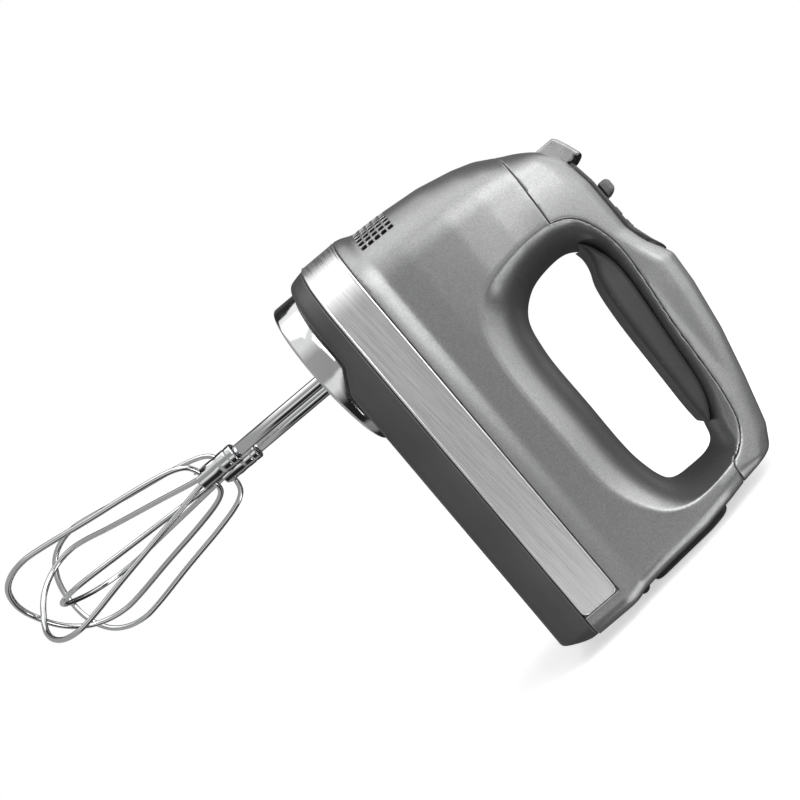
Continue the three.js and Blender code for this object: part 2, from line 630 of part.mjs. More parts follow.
function drive() {
  const shaft = turned([[0, -13], [2, -13], [2, 11], [SHAFT_RADIUS, 11.5], [SHAFT_RADIUS, 118], [0, 118]], 0, 0);
  add('armature_shaft', 'steel', alongX(shaft));
  const worm = twisted(wormSection(), WORM_HALF, 18, (2 * Math.PI) / WORM_LEAD);
  add('worm', 'steel', alongX(worm.subtract(rod(2.2, -20, 20, 0, 0))));

  const toothLean = Math.atan(WORM_LEAD / (2 * Math.PI * 4)) / 10;
  [['left', -1], ['right', 1]].forEach(([name, side]) => {
    const tooth = toothed(GEAR_TEETH, GEAR_ROOT, GEAR_TIP, 0.25, 0.12);
    const gear = twisted(tooth, GEAR_HALF, 1, toothLean).rotate([0, 0, -90 * side]);
    const bored = gear.subtract(rod(5.3, -10, 10, 0, 0));
    add(`${name}_worm_gear`, 'nylon', bored.translate([0, side * BEATER_Y, MOTOR_Z]));
    add(`${name}_spindle_tube`, 'steel', ring(5, 3.25, 2, 61, 0, side * BEATER_Y));
    add(`${name}_spindle_bushing`, 'brass', ring(8, 5.15, 26.2, 29.8, 0, side * BEATER_Y));
  });

  let frame = box(-17, 25, -28, 28, 26, 60).subtract(box(-30, 21, -40, 40, 30, 56));
  [-1, 1].forEach((side) => {
    frame = frame.subtract(rod(8.3, 20, 31, 0, side * BEATER_Y));
    frame = frame.subtract(rod(5.3, 50, 70, 0, side * BEATER_Y));
  });
  add('gearbox_frame', 'iron', frame.subtract(alongX(rod(7.3, 15, 30, 0, 0))));
  add('front_bearing', 'brass', alongX(ring(7, 3.12, 21.2, 24.8, 0, 0)));
  add('rear_bearing', 'brass', alongX(ring(7, 3.12, 110.4, 114.6, 0, 0)));
  const bracket = roundedBox(110, 115, -33, 33, 34, 66, 2, 1).subtract(alongX(rod(7.3, 100, 120, 0, 0)));
  add('rear_bearing_bracket', 'iron', bracket);
}

function motor() {
  let core = twisted(toothed(12, 12.5, 18, 0.22, 0.36), 17, 1, 0);
  core = core.subtract(rod(3.3, -30, 30, 0, 0)).translate([0, 0, 63]);
  add('armature_core', 'iron', alongX(core));
  add('commutator', 'copper', alongX(ring(9.5, 3.3, 90, 103, 0, 0, 24)));

  let fan = ring(6, 3.3, 28, 36.5, 0, 0, 24).add(rod(23.5, 35.2, 36.5, 0, 0, 24));
  fan = fan.subtract(rod(3.3, 20, 40, 0, 0));
  const blades = 8;
  for (let i = 0; i < blades; i += 1) {
    const blade = box(5, 23, -0.6, 0.6, 28.5, 36);
    fan = fan.add(blade.rotate([0, 0, (360 / blades) * i + 9]));
  }
  add('cooling_fan', 'black', alongX(fan));

  let stator = roundedBox(49.5, 76.5, -28, 28, 26.5, 73.5, 7, 2);
  stator = stator.subtract(alongX(rod(18.9, 40, 90, 0, 0, 28)));
  stator = stator.subtract(box(40, 90, -25.4, 25.4, 40.4, 59.6));
  add('stator_core', 'iron', stator);
  [['field_coil_upper', 1], ['field_coil_lower', -1]].forEach(([name, side]) => {
    const points = [
      [60, 21.7, 5.2], [78.5, 21.7, 5.2], [82.6, 17, 11], [84, 0, 19.4], [82.6, -17, 11], [78.5, -21.7, 5.2],
      [63, -21.7, 5.2], [47.5, -21.7, 5.2], [43.4, -17, 11], [42, 0, 19.4], [43.4, 17, 11], [47.5, 21.7, 5.2],
      [59, 21.7, 5.2],
    ];
    const path = new THREE.CatmullRomCurve3(
      points.map(([x, y, z]) => new THREE.Vector3(x, y, MOTOR_Z + side * z)), false, 'centripetal',
    );
    add(name, 'copper', bar(path, 2.5, 30, 6));
  });

  [['left', -1], ['right', 1]].forEach(([name, side]) => {
    const span = (near, far) => (side > 0 ? [near, far] : [-far, -near]);
    const holder = box(92, 101, ...span(10.6, 27), 45, 55);
    const channel = box(94.2, 98.8, ...span(5, 26), 47.2, 52.8);
    add(`brush_holder_${name}`, 'brass', holder.subtract(channel));
    add(`carbon_brush_${name}`, 'black', box(94.6, 98.4, ...span(9.9, 18), 47.6, 52.4));
    const coil = new THREE.Curve();
    coil.getPoint = (t, target = new THREE.Vector3()) => {
      const angle = t * 4 * 2 * Math.PI;
      return target.set(96.5 + 1.5 * Math.cos(angle), side * THREE.MathUtils.lerp(18.9, 25.1, t),
        MOTOR_Z + 1.5 * Math.sin(angle));
    };
    add(`brush_spring_${name}`, 'steel', bar(coil, 0.35, 32, 4));
  });
}

// ---------- beaters ----------

const FERRULE = { top: -53, bottom: -73.5, radius: 4.85, bore: 3.9 };
const WIRE_RADIUS = 1.25;

// Half of each wire loop (distance from the beater's axis, z), from inside the ferrule down to the tip.
const SHOULDERED_HALF = [
  [2.2, -70.6], [6.5, -70.6], [10.4, -71.8], [13, -74.6], [15.2, -79.6], [18.2, -92], [22.3, -115],
  [26.8, -138], [27.6, -146], [26, -154.5], [21.8, -161.5], [15, -166.2], [8, -168.4], [0, -168.9],
];
const PLAIN_HALF = [
  [2.2, -61], [2.2, -72], [3.6, -78], [9.7, -96], [19.2, -125], [24.6, -140],
  [26, -147.5], [24.4, -155], [19.8, -160.8], [13, -164.6], [6.5, -165.9], [0, -166.1],
];

function wireLoop(half, turn) {
  const mirrored = half.slice(0, -1).reverse().map(([r, z]) => [-r, z]);
  const points = [...half, ...mirrored].map(([r, z]) => new THREE.Vector3(r, 0, z));
  return bar(new THREE.CatmullRomCurve3(points, false, 'centripetal'), WIRE_RADIUS, 44).rotate([0, 0, turn]);
}

// The left beater rests an eighth of a turn out of step with the right one, so that their loops interleave.
function beater(name, y, phase) {
  const group = [];
  const shaft = turned([
    [0, -58.6], [SHAFT_RADIUS, -58.6], [SHAFT_RADIUS, 68.6], [1.6, 70.2], [0, 70.2],
  ], 0, 0);
  group.push(['shaft', shaft]);
  const { top, bottom, radius, bore } = FERRULE;
  let ferrule = turned([[bore, bottom], [radius, bottom], [radius, top - 0.6], [radius - 0.5, top], [3.3, top],
    [3.3, -59.5], [bore, -59.5]], 0, 0, 28);
  ferrule = ferrule.subtract(box(-10, 10, -1.6, 1.6, bottom - 5, -66.6));
  group.push(['ferrule', ferrule]);
  group.push(['shouldered_loop', wireLoop(SHOULDERED_HALF, 0)]);
  group.push(['plain_loop', wireLoop(PLAIN_HALF, 90)]);
  group.forEach(([piece, made]) => {
    add(`${name}_beater_${piece}`, 'chrome', made.rotate([0, 0, phase]).translate([0, y, 0]));
  });
}

// ---------- the assembly ----------

housings();
add('trim_band', 'steel', trimBand());
add('vent_baffle', 'black', ventBaffle());
add('heel_rest', 'rubber', heelRest());
cordSwivel();
collar();
grip();
panelAndControls();
ejector();
drive();
motor();
beater('left', -BEATER_Y, 45);
beater('right', BEATER_Y, 0);

// Turned about y, so that the heel pad faces down.
const mixer = new THREE.Group();
pieces.position.copy(HEEL_CENTRE).negate();
const upright = new THREE.Group();
upright.add(pieces);
upright.rotation.y = Math.PI / 2 + HEEL_TILT;
mixer.add(upright);

export default mixer;
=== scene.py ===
"""Looks of the electric hand mixer with two wire beaters.

Every shape is written in the mixer's working frame, in millimetres: x runs rearward, y to the mixer's right
and z up, with the beater axes at x = 0 and the collar's rim at z = 0. to_row() turns points into the frame of
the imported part, where the mixer stands on the heel pad of its rear face. Housings and other moulded pieces
are fields, below zero inside, that surface_net() turns into meshes. Wires, turned parts and the trim band
are swept directly.
"""

import json
import math

import bpy
import numpy as np
from mathutils import Matrix, Vector

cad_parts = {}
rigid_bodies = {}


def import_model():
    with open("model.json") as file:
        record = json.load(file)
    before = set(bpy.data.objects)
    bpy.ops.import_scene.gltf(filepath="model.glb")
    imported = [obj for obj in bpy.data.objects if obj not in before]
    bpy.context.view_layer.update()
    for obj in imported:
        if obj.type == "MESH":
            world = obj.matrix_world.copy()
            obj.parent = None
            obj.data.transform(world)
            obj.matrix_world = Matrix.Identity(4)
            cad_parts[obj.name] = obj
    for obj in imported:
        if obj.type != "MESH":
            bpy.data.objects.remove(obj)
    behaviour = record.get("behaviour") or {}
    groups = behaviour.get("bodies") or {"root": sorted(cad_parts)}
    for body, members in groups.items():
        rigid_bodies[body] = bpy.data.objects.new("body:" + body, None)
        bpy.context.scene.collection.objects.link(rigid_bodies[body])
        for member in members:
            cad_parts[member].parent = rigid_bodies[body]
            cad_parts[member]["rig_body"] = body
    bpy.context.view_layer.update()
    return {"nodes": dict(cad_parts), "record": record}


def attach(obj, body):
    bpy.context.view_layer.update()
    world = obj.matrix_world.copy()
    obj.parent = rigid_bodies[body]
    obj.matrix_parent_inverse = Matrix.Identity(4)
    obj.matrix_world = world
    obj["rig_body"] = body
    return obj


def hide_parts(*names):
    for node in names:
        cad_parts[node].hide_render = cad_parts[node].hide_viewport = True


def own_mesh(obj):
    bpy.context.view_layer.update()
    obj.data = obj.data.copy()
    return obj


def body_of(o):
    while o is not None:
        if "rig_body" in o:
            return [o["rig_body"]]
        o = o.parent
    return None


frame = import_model()
nodes = frame["nodes"]

# ---------- driving dimensions, in millimetres ----------

GAP = 0.3
WALL = 2.2
BAND_BOTTOM, BAND_TOP = 22.3, 40.5
BAND_THICKNESS = 1.1
BAND_REAR = 150.8
HALF_WIDTH = 45.0
NOSE_FRONT, REAR = -45.8, 161.6
NOSE_CENTRE = -6.7
REAR_CORNER = 8.0
COLLAR_RADIUS, COLLAR_X, COLLAR_TOP = 38.8, -1.0, 12.6
BEATER_Y = 14.0
HEEL_CENTRE = np.array([162.9, 0.0, 77.0])
HEEL_TILT = math.radians(4)
HEEL_HALF_WIDTH, HEEL_HALF_HEIGHT = 25.0, 22.5
SWIVEL_X, SWIVEL_Z = 160.4, 48.3
CROWN_DEPTH, CROWN_POWER = 13.0, 2.4
SCOOP_CURVE = 0.75

TURN = math.pi / 2 + HEEL_TILT


def to_row(points):
    """Working-frame millimetres to row-frame metres."""
    p = np.asarray(points, float) - HEEL_CENTRE
    x = p[:, 0] * math.cos(TURN) + p[:, 2] * math.sin(TURN)
    z = -p[:, 0] * math.sin(TURN) + p[:, 2] * math.cos(TURN)
    return np.stack([x, p[:, 1], z], 1) / 1000


# ---------- tables and outlines ----------

def smooth_table(rows, blur):
    """A function through rows of [x, value], with its corners rounded over about blur."""
    xs, values = np.array(rows, float).T
    step = 0.25
    fine = np.arange(xs[0] - 4 * blur, xs[-1] + 4 * blur, step)
    line = np.interp(fine, xs, values)
    slope0 = (values[1] - values[0]) / (xs[1] - xs[0])
    slope1 = (values[-1] - values[-2]) / (xs[-1] - xs[-2])
    line = np.where(fine < xs[0], values[0] + slope0 * (fine - xs[0]), line)
    line = np.where(fine > xs[-1], values[-1] + slope1 * (fine - xs[-1]), line)
    reach = np.arange(-3 * blur, 3 * blur + step, step)
    weights = np.exp(-0.5 * (reach / blur) ** 2)
    half = len(reach) // 2
    padded = np.pad(line, half, mode="reflect", reflect_type="odd")
    line = np.convolve(padded, weights / weights.sum(), mode="valid")[: len(fine)]
    return lambda x: np.interp(x, fine, line)


# Each level of the body: height, half-width, front and rear.
LEVELS = [[BAND_BOTTOM, HALF_WIDTH, NOSE_FRONT, REAR], [40.8, HALF_WIDTH, NOSE_FRONT, REAR],
          [44.5, 44.2, -45.1, 161.4], [49, 42.2, -42.9, 160.4], [63, 42, -42.3, 158.9],
          [85, 40.7, -40.1, 157.7]]
UPPER_FRONT = [[102, -36.3], [112, -32.9], [118, -29.3], [124, -25.8], [132, -22.4], [140, -20.4], [158, -18]]
UPPER_REAR = [[102, 155.9], [112, 154.8], [118, 154.1], [134, 152.3], [158, 150]]
front_width = smooth_table([[r[0], r[1]] for r in LEVELS]
                           + [[102, 38.7], [118, 35.6], [131, 30], [140, 26], [158, 22]], 1.2)
handle_width = smooth_table([[r[0], r[1]] for r in LEVELS]
                            + [[102, 36], [112, 31.5], [125, 25.5], [137, 20.8], [158, 20]], 1.2)
nose_front = smooth_table([[r[0], r[2]] for r in LEVELS] + UPPER_FRONT, 1.2)
rear_face = smooth_table([[r[0], r[3]] for r in LEVELS] + UPPER_REAR, 1.2)
crown = smooth_table([[-40, 128], [-17.7, 140], [-3, 146], [10, 148], [36, 148.5], [47, 152], [58, 157],
                      [74, 155.8], [98, 151.8], [121, 146], [144, 139.3], [152.3, 134], [170, 121]], 0.9)

# The handle's opening: points (x, z) on the centre plane, and on the body's side where its scoop begins.
OPENING_INNER = [[85, 82.6], [54, 83], [38, 86.8], [28.8, 96.8], [25.4, 110], [26, 121], [32, 128.4],
                 [46, 131.3], [85, 128], [113, 124.3], [128, 118.8], [138, 115.8], [143, 106], [142.6, 97],
                 [137, 89], [121, 83.6]]
OPENING_OUTER = [[85, 63.2], [50, 63.8], [31, 68.6], [20.5, 77], [15.6, 97], [15.2, 117], [19.5, 128],
                 [37.5, 136.6], [85, 133.1], [120, 130], [134.5, 126], [142.6, 117.5], [144.6, 105],
                 [144.4, 88], [139, 76], [120, 65]]
GRIP_SIDE = [[27, 124.6], [30, 127.2], [36, 130], [46, 132.6], [68, 131.6], [91, 129.4], [113, 126.4],
             [121, 122.8], [127, 118.2], [122, 117.4], [98, 117.9], [62, 119.4], [46, 121.6], [38, 124.6],
             [32, 125.4]]
OUTLINE_STEPS = 12


def curve_points(points, steps, closed=True):
    """A centripetal Catmull-Rom curve through the points, with steps samples for each span."""
    p = np.array(points, float)
    n = len(p)
    if closed:
        before, after, last = p[-1], p[0], n
    else:
        before, after, last = 2 * p[0] - p[1], 2 * p[-1] - p[-2], n - 1
    samples = []
    for i in range(last):
        p0 = p[i - 1] if i > 0 else before
        p1 = p[i]
        p2 = p[(i + 1) % n]
        p3 = p[(i + 2) % n] if closed or i + 2 < n else after
        d0, d1, d2 = (max(np.linalg.norm(b - a) ** 0.5, 1e-4) for a, b in ((p0, p1), (p1, p2), (p2, p3)))
        m1 = ((p1 - p0) / d0 - (p2 - p0) / (d0 + d1) + (p2 - p1) / d1) * d1
        m2 = ((p2 - p1) / d1 - (p3 - p1) / (d1 + d2) + (p3 - p2) / d2) * d1
        t = (np.arange(steps) / steps)[:, None]
        samples.append(p1 + m1 * t + (3 * (p2 - p1) - 2 * m1 - m2) * t**2 + (2 * (p1 - p2) + m1 + m2) * t**3)
    if not closed:
        samples.append(p[-1:])
    return np.concatenate(samples)


def polygon_distance(polygon, x, z):
    """Distance to a closed polygon's outline, below zero inside it."""
    x, z = np.broadcast_arrays(np.asarray(x, float), np.asarray(z, float))
    nearest = np.full(x.shape, 1e12)
    inside = np.zeros(x.shape, bool)
    for (ax, az), (bx, bz) in zip(polygon, np.roll(polygon, -1, axis=0)):
        ex, ez = bx - ax, bz - az
        t = np.clip(((x - ax) * ex + (z - az) * ez) / (ex * ex + ez * ez + 1e-12), 0, 1)
        nearest = np.minimum(nearest, (x - ax - t * ex) ** 2 + (z - az - t * ez) ** 2)
        if az != bz:
            crosses = (az > z) != (bz > z)
            inside ^= crosses & (x < ax + (z - az) * ex / ez)
    return np.where(inside, -1, 1) * np.sqrt(nearest)


class SideMap:
    """A function of the side view, sampled once on a fine grid and then read back between its points."""

    def __init__(self, function, x0=-64, x1=184, z0=36, z1=176, step=0.4):
        self.x0, self.z0, self.step = x0, z0, step
        self.xs, self.zs = np.arange(x0, x1, step), np.arange(z0, z1, step)
        self.values = function(self.xs[:, None], self.zs[None, :])

    def __call__(self, x, z):
        u = np.clip((x - self.x0) / self.step, 0, len(self.xs) - 1.001)
        v = np.clip((z - self.z0) / self.step, 0, len(self.zs) - 1.001)
        i, j = u.astype(int), v.astype(int)
        a, b = u - i, v - j
        f = self.values
        low = f[i, j] * (1 - a) + f[i + 1, j] * a
        return low * (1 - b) + (f[i, j + 1] * (1 - a) + f[i + 1, j + 1] * a) * b


inner_outline = curve_points(OPENING_INNER, OUTLINE_STEPS)
outer_outline = curve_points(OPENING_OUTER, OUTLINE_STEPS)
SEAM_FIRST, SEAM_LAST = int(5.1 * OUTLINE_STEPS), int(11.35 * OUTLINE_STEPS)
seam_region = np.concatenate([[[-70, 123.2], [15, 118.2]], outer_outline[SEAM_FIRST:SEAM_LAST + 1],
                              [[146, 112], [175, 110.4], [175, 185], [-70, 185]]])
beyond_inner = SideMap(lambda x, z: polygon_distance(inner_outline, x, z))
beyond_outer = SideMap(lambda x, z: polygon_distance(outer_outline, x, z))
below_seam = SideMap(lambda x, z: polygon_distance(seam_region, x, z))
grip_side = SideMap(lambda x, z: polygon_distance(curve_points(GRIP_SIDE, OUTLINE_STEPS), x, z))


# ---------- fields ----------

def both(a, b, radius=0.0):
    """Where both fields are below zero, with the edge between them rounded."""
    sharp = np.maximum(a, b)
    if np.max(radius) <= 0:
        return sharp
    rounded = np.hypot(np.maximum(a + radius, 0), np.maximum(b + radius, 0)) - radius
    return np.where(sharp > -radius, rounded, sharp)


def either(a, b, radius=0.0):
    """Where one of the fields is below zero, with a fillet between them."""
    return -both(-a, -b, radius)


def slab(v, low, high):
    return np.maximum(low - v, v - high)


def block(x, q, z, x0, x1, half, z0, z1, radius):
    """A box across the centre plane, with rounded edges."""
    dx, dq, dz = slab(x, x0, x1) + radius, q - half + radius, slab(z, z0, z1) + radius
    outside = np.sqrt(np.maximum(dx, 0) ** 2 + np.maximum(dq, 0) ** 2 + np.maximum(dz, 0) ** 2)
    return outside + np.minimum(np.maximum(np.maximum(dx, dq), dz), 0) - radius


def side_width(x, z):
    t = np.clip(x / 60, 0, 1)
    t = t * t * (3 - 2 * t)
    return front_width(z) * (1 - t) + handle_width(z) * t


def body(x, q, z, inset=0.0):
    """The body's outer form, drawn in by inset."""
    length = NOSE_CENTRE - nose_front(z) - inset
    width = side_width(x, z) - inset
    rise = np.clip(1 - (crown(x) - inset - z) / CROWN_DEPTH, 0, 1.8)
    plan = (np.maximum(NOSE_CENTRE - x, 0) / length) ** 2 + (q / width) ** 2
    level = (plan ** (CROWN_POWER / 2) + rise**CROWN_POWER) ** (1 / CROWN_POWER)
    corner = np.maximum(np.interp(z, [112, 130], [REAR_CORNER, 1.8]) - inset, 1)
    return both((level - 1) * width, x - rear_face(z) + inset, corner)


def around_opening(x, q, z):
    """Below zero where the handle's opening and its scooped sides leave material."""
    inner, outer = beyond_inner(x, z), -beyond_outer(x, z)
    span = np.maximum(inner + outer, 3.0)
    share = np.where(outer > 0, inner / np.maximum(inner + outer, 0.3), 1 - outer / 14)
    share = np.minimum(share, 1 / SCOOP_CURVE)
    width = side_width(x, z)
    full = 1 - (1 - SCOOP_CURVE) ** 2
    across = full * (q / width) ** 2
    along = 1 - SCOOP_CURVE * share
    level = np.sqrt(along**2 + across)
    slope = np.hypot(SCOOP_CURVE * along / span, full * q / width**2) / np.maximum(level, 0.05)
    return (level - 1) / np.maximum(slope, 0.02)


# The solid block round the cord's exit: x from and to, half-width, z from and to.
BACKING = (153.8, 175, 34, 38, 58)
PANEL_X0, PANEL_X1, PANEL_Y, PANEL_PROUD = -2.6, 54.5, 15.0, 1.5
BUTTON_X0, BUTTON_X1, BUTTON_Y = -17.2, -3.7, 10.0
EDGE = 0.45         # rounding along the edges of the housings' seams
SCOOP_EDGE = 0.7


def cavity(x, q, z):
    """The hollow inside the housings' walls."""
    hollow = np.maximum(body(x, q, z, WALL), around_opening(x, q, z) + WALL)
    hollow = np.maximum(hollow, WALL - beyond_inner(x, z))
    x0, x1, half, z0, z1 = BACKING
    return np.maximum(hollow, -block(x, q, z, x0, x1, half, z0, z1, 0))


def outside(x, q, z):
    """The outer form with the handle's opening and its scoops."""
    return both(body(x, q, z), around_opening(x, q, z), SCOOP_EDGE)


VENT_ROWS, VENT_PITCH, VENT_BOTTOM = 5, 3.55, 51.0
VENT_COLUMNS = 23
VENT_TURN = math.radians(5.3)
VENT_HALF = 1.2
VENT_INNER_RADIUS = 20


def vents(x, q, z):
    """The square holes of the nose's grid, in rows round the nose."""
    angle = np.arctan2(q, NOSE_CENTRE - x)
    radius = np.hypot(NOSE_CENTRE - x, q)
    column = np.clip(np.round(angle / VENT_TURN), 0, VENT_COLUMNS // 2)
    row = np.clip(np.round((z - VENT_BOTTOM) / VENT_PITCH), 0, VENT_ROWS - 1)
    across = np.abs(angle - column * VENT_TURN) * radius - VENT_HALF
    up = np.abs(z - VENT_BOTTOM - row * VENT_PITCH) - VENT_HALF
    return both(both(across, up, 0.3), VENT_INNER_RADIUS - radius)


def upper_housing(x, q, z):
    shell = outside(x, q, z)
    recess = np.maximum(-body(x, q, z, BAND_THICKNESS + GAP), z - BAND_TOP - GAP)
    recess = np.maximum(recess, x - BAND_REAR - GAP)
    shell = both(shell, -recess, EDGE)
    shell = both(shell, GAP - below_seam(x, z), EDGE)
    shell = both(shell, BAND_BOTTOM - z, EDGE)
    groove = either(block(x, q, z, SWIVEL_X - 4, 190, 32, 43, 53.6, 2),
                    np.maximum(np.hypot(x - SWIVEL_X, q) - 4.6, slab(z, 43, 53.6)))
    shell = both(shell, -groove, 0.6)
    shell = np.maximum(shell, -cavity(x, q, z))
    return both(shell, -vents(x, q, z), 0.3)


def panel_plan(x, q):
    """The control panel's outline from above: square at the front, rounded at the rear."""
    tail = (np.maximum(x - PANEL_X1 + PANEL_Y, 0) / PANEL_Y) ** 2.3 + (q / PANEL_Y) ** 2.3
    return both(PANEL_X0 - x, (tail ** (1 / 2.3) - 1) * PANEL_Y, 4)


def top_cover(x, q, z):
    shell = both(outside(x, q, z), below_seam(x, z), EDGE)
    shell = both(shell, GAP - panel_plan(x, q), EDGE)
    hole = block(x, q, z, BUTTON_X0 - GAP, BUTTON_X1 + GAP, BUTTON_Y + GAP, 124, 180, 1.5)
    shell = both(shell, -hole, EDGE)
    return np.maximum(shell, -cavity(x, q, z))


tub_width = smooth_table([[2, 38], [6, 40], [8.5, 41.6], [13, 43], [17, 44], [22, 44.6], [30, 44.9]], 1.0)
tub_front = smooth_table([[2, -39.6], [6, -40.6], [8.5, -41.4], [13, -42.9], [17, -44], [22, -45],
                          [30, -45.3]], 1.0)
tub_bottom = smooth_table([[-60, 13], [7.5, 13], [18, 6.6], [155.4, 6.6], [161.2, 18], [170, 36]], 0.7)
SCREWS = [(34, 33), (140, 33)]
SCREW_POST, SCREW_SINK, SCREW_BORE = 5.2, 3.9, 1.9
PORT_RADIUS = 5.6


def tub(x, q, z, inset):
    """The underside tub's outer form, drawn in by inset."""
    width, length = tub_width(z) - inset, NOSE_CENTRE - tub_front(z) - inset
    plan = np.sqrt((np.maximum(NOSE_CENTRE - x, 0) / length) ** 2 + (q / width) ** 2)
    side = both((plan - 1) * width, x - REAR + 0.4 + inset, REAR_CORNER - inset)
    return both(side, tub_bottom(x) + inset - z, 2.6 - 0.7 * inset)


def lower_housing(x, q, z):
    shell = both(tub(x, q, z, 0), z - BAND_BOTTOM + GAP, 0.4)
    shell = np.maximum(shell, -tub(x, q, z, WALL))
    for sx, sy in SCREWS:
        post = np.hypot(x - sx, q - sy)
        shell = either(shell, np.maximum(post - SCREW_POST, slab(z, 7.6, 20)), 0.8)
        shell = both(shell, -np.maximum(post - SCREW_SINK, z - 10), 0.4)
        shell = np.maximum(shell, -np.maximum(post - SCREW_BORE, z - 30))
    port = np.maximum(np.hypot(x, q - BEATER_Y) - PORT_RADIUS, z - 30)
    return np.maximum(shell, -port)


def control_panel(x, q, z):
    """The insert, with a slot for the switch, a well for each speed button and one for the display."""
    pad = both(panel_plan(x, q), body(x, q, z, -PANEL_PROUD), 1.1)
    pad = np.maximum(pad, -body(x, q, z, WALL))
    for x0, x1, half in ((12.8, 22.4, 4.3), (24.4, 29.6, 6.3), (32.0, 37.2, 6.3)):
        pad = both(pad, -block(x, q, z, x0, x1, half, 128, 172, 0.8), 0.3)
    return both(pad, -block(x, q, z, 0, 7.5, 6.5, 146.6, 172, 0.8), 0.3)


def display_window(x, q, z):
    pane = block(x, q, z, 0.3, 7.2, 6.2, 146.9, 172, 0.6)
    return both(pane, body(x, q, z, -PANEL_PROUD + 0.15), 0.3)


def speed_button(x_centre):
    def field(x, q, z):
        cap = block(x, q, z, x_centre - 2.3, x_centre + 2.3, 6, 141.6, 172, 0.7)
        dome = body(x, q, z, -PANEL_PROUD - 1.2) + 0.03 * q * q - 0.4
        groove = np.hypot(np.maximum(q - 2.2, 0), np.hypot(x - x_centre, (z - 152.2) * 0.9)) - 0.9
        return both(both(cap, dome, 0.7), -groove, 0.2)
    return field


def power_switch_knob(x, q, z):
    """A domed cap above the panel, on a neck that runs in the panel's slot."""
    plan = both(slab(x, 11.5, 18.7), q - 6.5, 1.8)
    cap = both(plan, z + 0.02 * q * q - 156.5, 2.6)
    cap = both(cap, 150.6 - z, 0.5)
    neck = block(x, q, z, 13.1, 17.1, 4, 139.6, 151.5, 0.5)
    return either(cap, neck, 0.4)


BUTTON_SIDE = np.array([[-17.2, 127], [-3.7, 127], [-3.7, 150.6], [-4.6, 151.4], [-3.7, 152.6], [-3.7, 154.4],
                        [-5, 154.4], [-11, 152.3], [-15.8, 150.2], [-17.2, 148.8]])


def ejector_button(x, q, z):
    """A thumb plate that falls away towards its sides, hollow underneath."""
    fallen = polygon_distance(BUTTON_SIDE, x, z + 0.021 * q * q)
    shape = both(both(fallen, q - BUTTON_Y, 0.9), 127 - z, 0.3)
    hollow = block(x, q, z, BUTTON_X0 + 2, BUTTON_X1 - 2, BUTTON_Y - 2, 100, 126.9, 0.5)
    return np.maximum(shape, -hollow)


def handle_grip(x, q, z):
    pad = both(grip_side(x, z), q - 16, 3.5)
    return both(pad, 0.35 - around_opening(x, q, z), 0.5)


TREAD_PITCH = 4.5


def heel_rest(x, q, z):
    """The rubber pad of the rear face, with a ribbed dish and an upper end that curves in."""
    dx, dz = x - HEEL_CENTRE[0], z - HEEL_CENTRE[2]
    out = dx * math.cos(HEEL_TILT) + dz * math.sin(HEEL_TILT)
    up = dz * math.cos(HEEL_TILT) - dx * math.sin(HEEL_TILT)
    corner = both(q - HEEL_HALF_WIDTH, np.abs(up) - HEEL_HALF_HEIGHT, 5)
    out = out + 0.008 * np.maximum(up - 8, 0) ** 2
    rim = both(corner, out, 1.4)
    tread = np.abs((up + 100 * TREAD_PITCH) % TREAD_PITCH - TREAD_PITCH / 2) - 1.45
    tread = both(tread, both(q - 20, np.abs(up) - 18.2, 3.5), 0.4)
    dish = np.maximum(-out - 0.7, np.maximum(both(q - 20.4, np.abs(up) - 18.6, 3.6), -tread))
    rim = both(rim, -dish, 0.25)
    return np.maximum(rim, -body(x, q, z, -0.3))


def cord_swivel(x, y, z):
    """An upright hub and the arm that holds the cord. It isn't mirrored, so it takes y itself."""
    hub = both(np.hypot(x - SWIVEL_X, y) - 4.1, slab(z, 43.4, 53.2), 0.8)
    arm = both(np.hypot(x - SWIVEL_X, z - SWIVEL_Z) - 3.8, slab(y, -17, -2), 0.5)
    bore = np.maximum(np.hypot(x - SWIVEL_X, z - SWIVEL_Z) - 2.6, slab(y, -30, -8.5))
    return np.maximum(either(hub, arm, 1.2), -bore)


# ---------- meshes ----------

def surface_net(values, axes):
    """Points and four-sided faces of the surface where the values on a grid pass through zero."""
    shape = np.array(values.shape)
    cells = shape - 1
    inside = values < 0
    faces, owners, crossings = [], [], []
    for a in range(3):
        b, c = (a + 1) % 3, (a + 2) % 3
        low, high = [slice(None)] * 3, [slice(None)] * 3
        low[a], high[a] = slice(0, -1), slice(1, None)
        at = np.argwhere(inside[tuple(low)] != inside[tuple(high)])
        keep = (at[:, b] > 0) & (at[:, b] < shape[b] - 1) & (at[:, c] > 0) & (at[:, c] < shape[c] - 1)
        at = at[keep]
        step = np.zeros(3, int)
        step[a] = 1
        v0, v1 = values[tuple(at.T)], values[tuple((at + step).T)]
        point = np.stack([axes[d][at[:, d]] for d in range(3)], 1).astype(float)
        point[:, a] += v0 / (v0 - v1) * (axes[a][at[:, a] + 1] - axes[a][at[:, a]])
        around = []
        for db, dc in ((0, 0), (-1, 0), (-1, -1), (0, -1)):
            cell = at.copy()
            cell[:, b] += db
            cell[:, c] += dc
            around.append(np.ravel_multi_index(tuple(cell.T), tuple(cells)))
        quad = np.stack(around, 1)
        quad[v0 > 0] = quad[v0 > 0][:, ::-1]
        faces.append(quad)
        owners.append(quad.ravel())
        crossings.append(np.repeat(point, 4, axis=0))
    _, index = np.unique(np.concatenate(owners), return_inverse=True)
    points = np.concatenate(crossings)
    count = np.bincount(index)
    vertices = np.stack([np.bincount(index, points[:, d]) / count for d in range(3)], 1)
    sizes = np.cumsum([0] + [len(f) * 4 for f in faces])
    quads = np.concatenate([index[sizes[i]:sizes[i + 1]].reshape(-1, 4) for i in range(3)])
    return vertices, quads


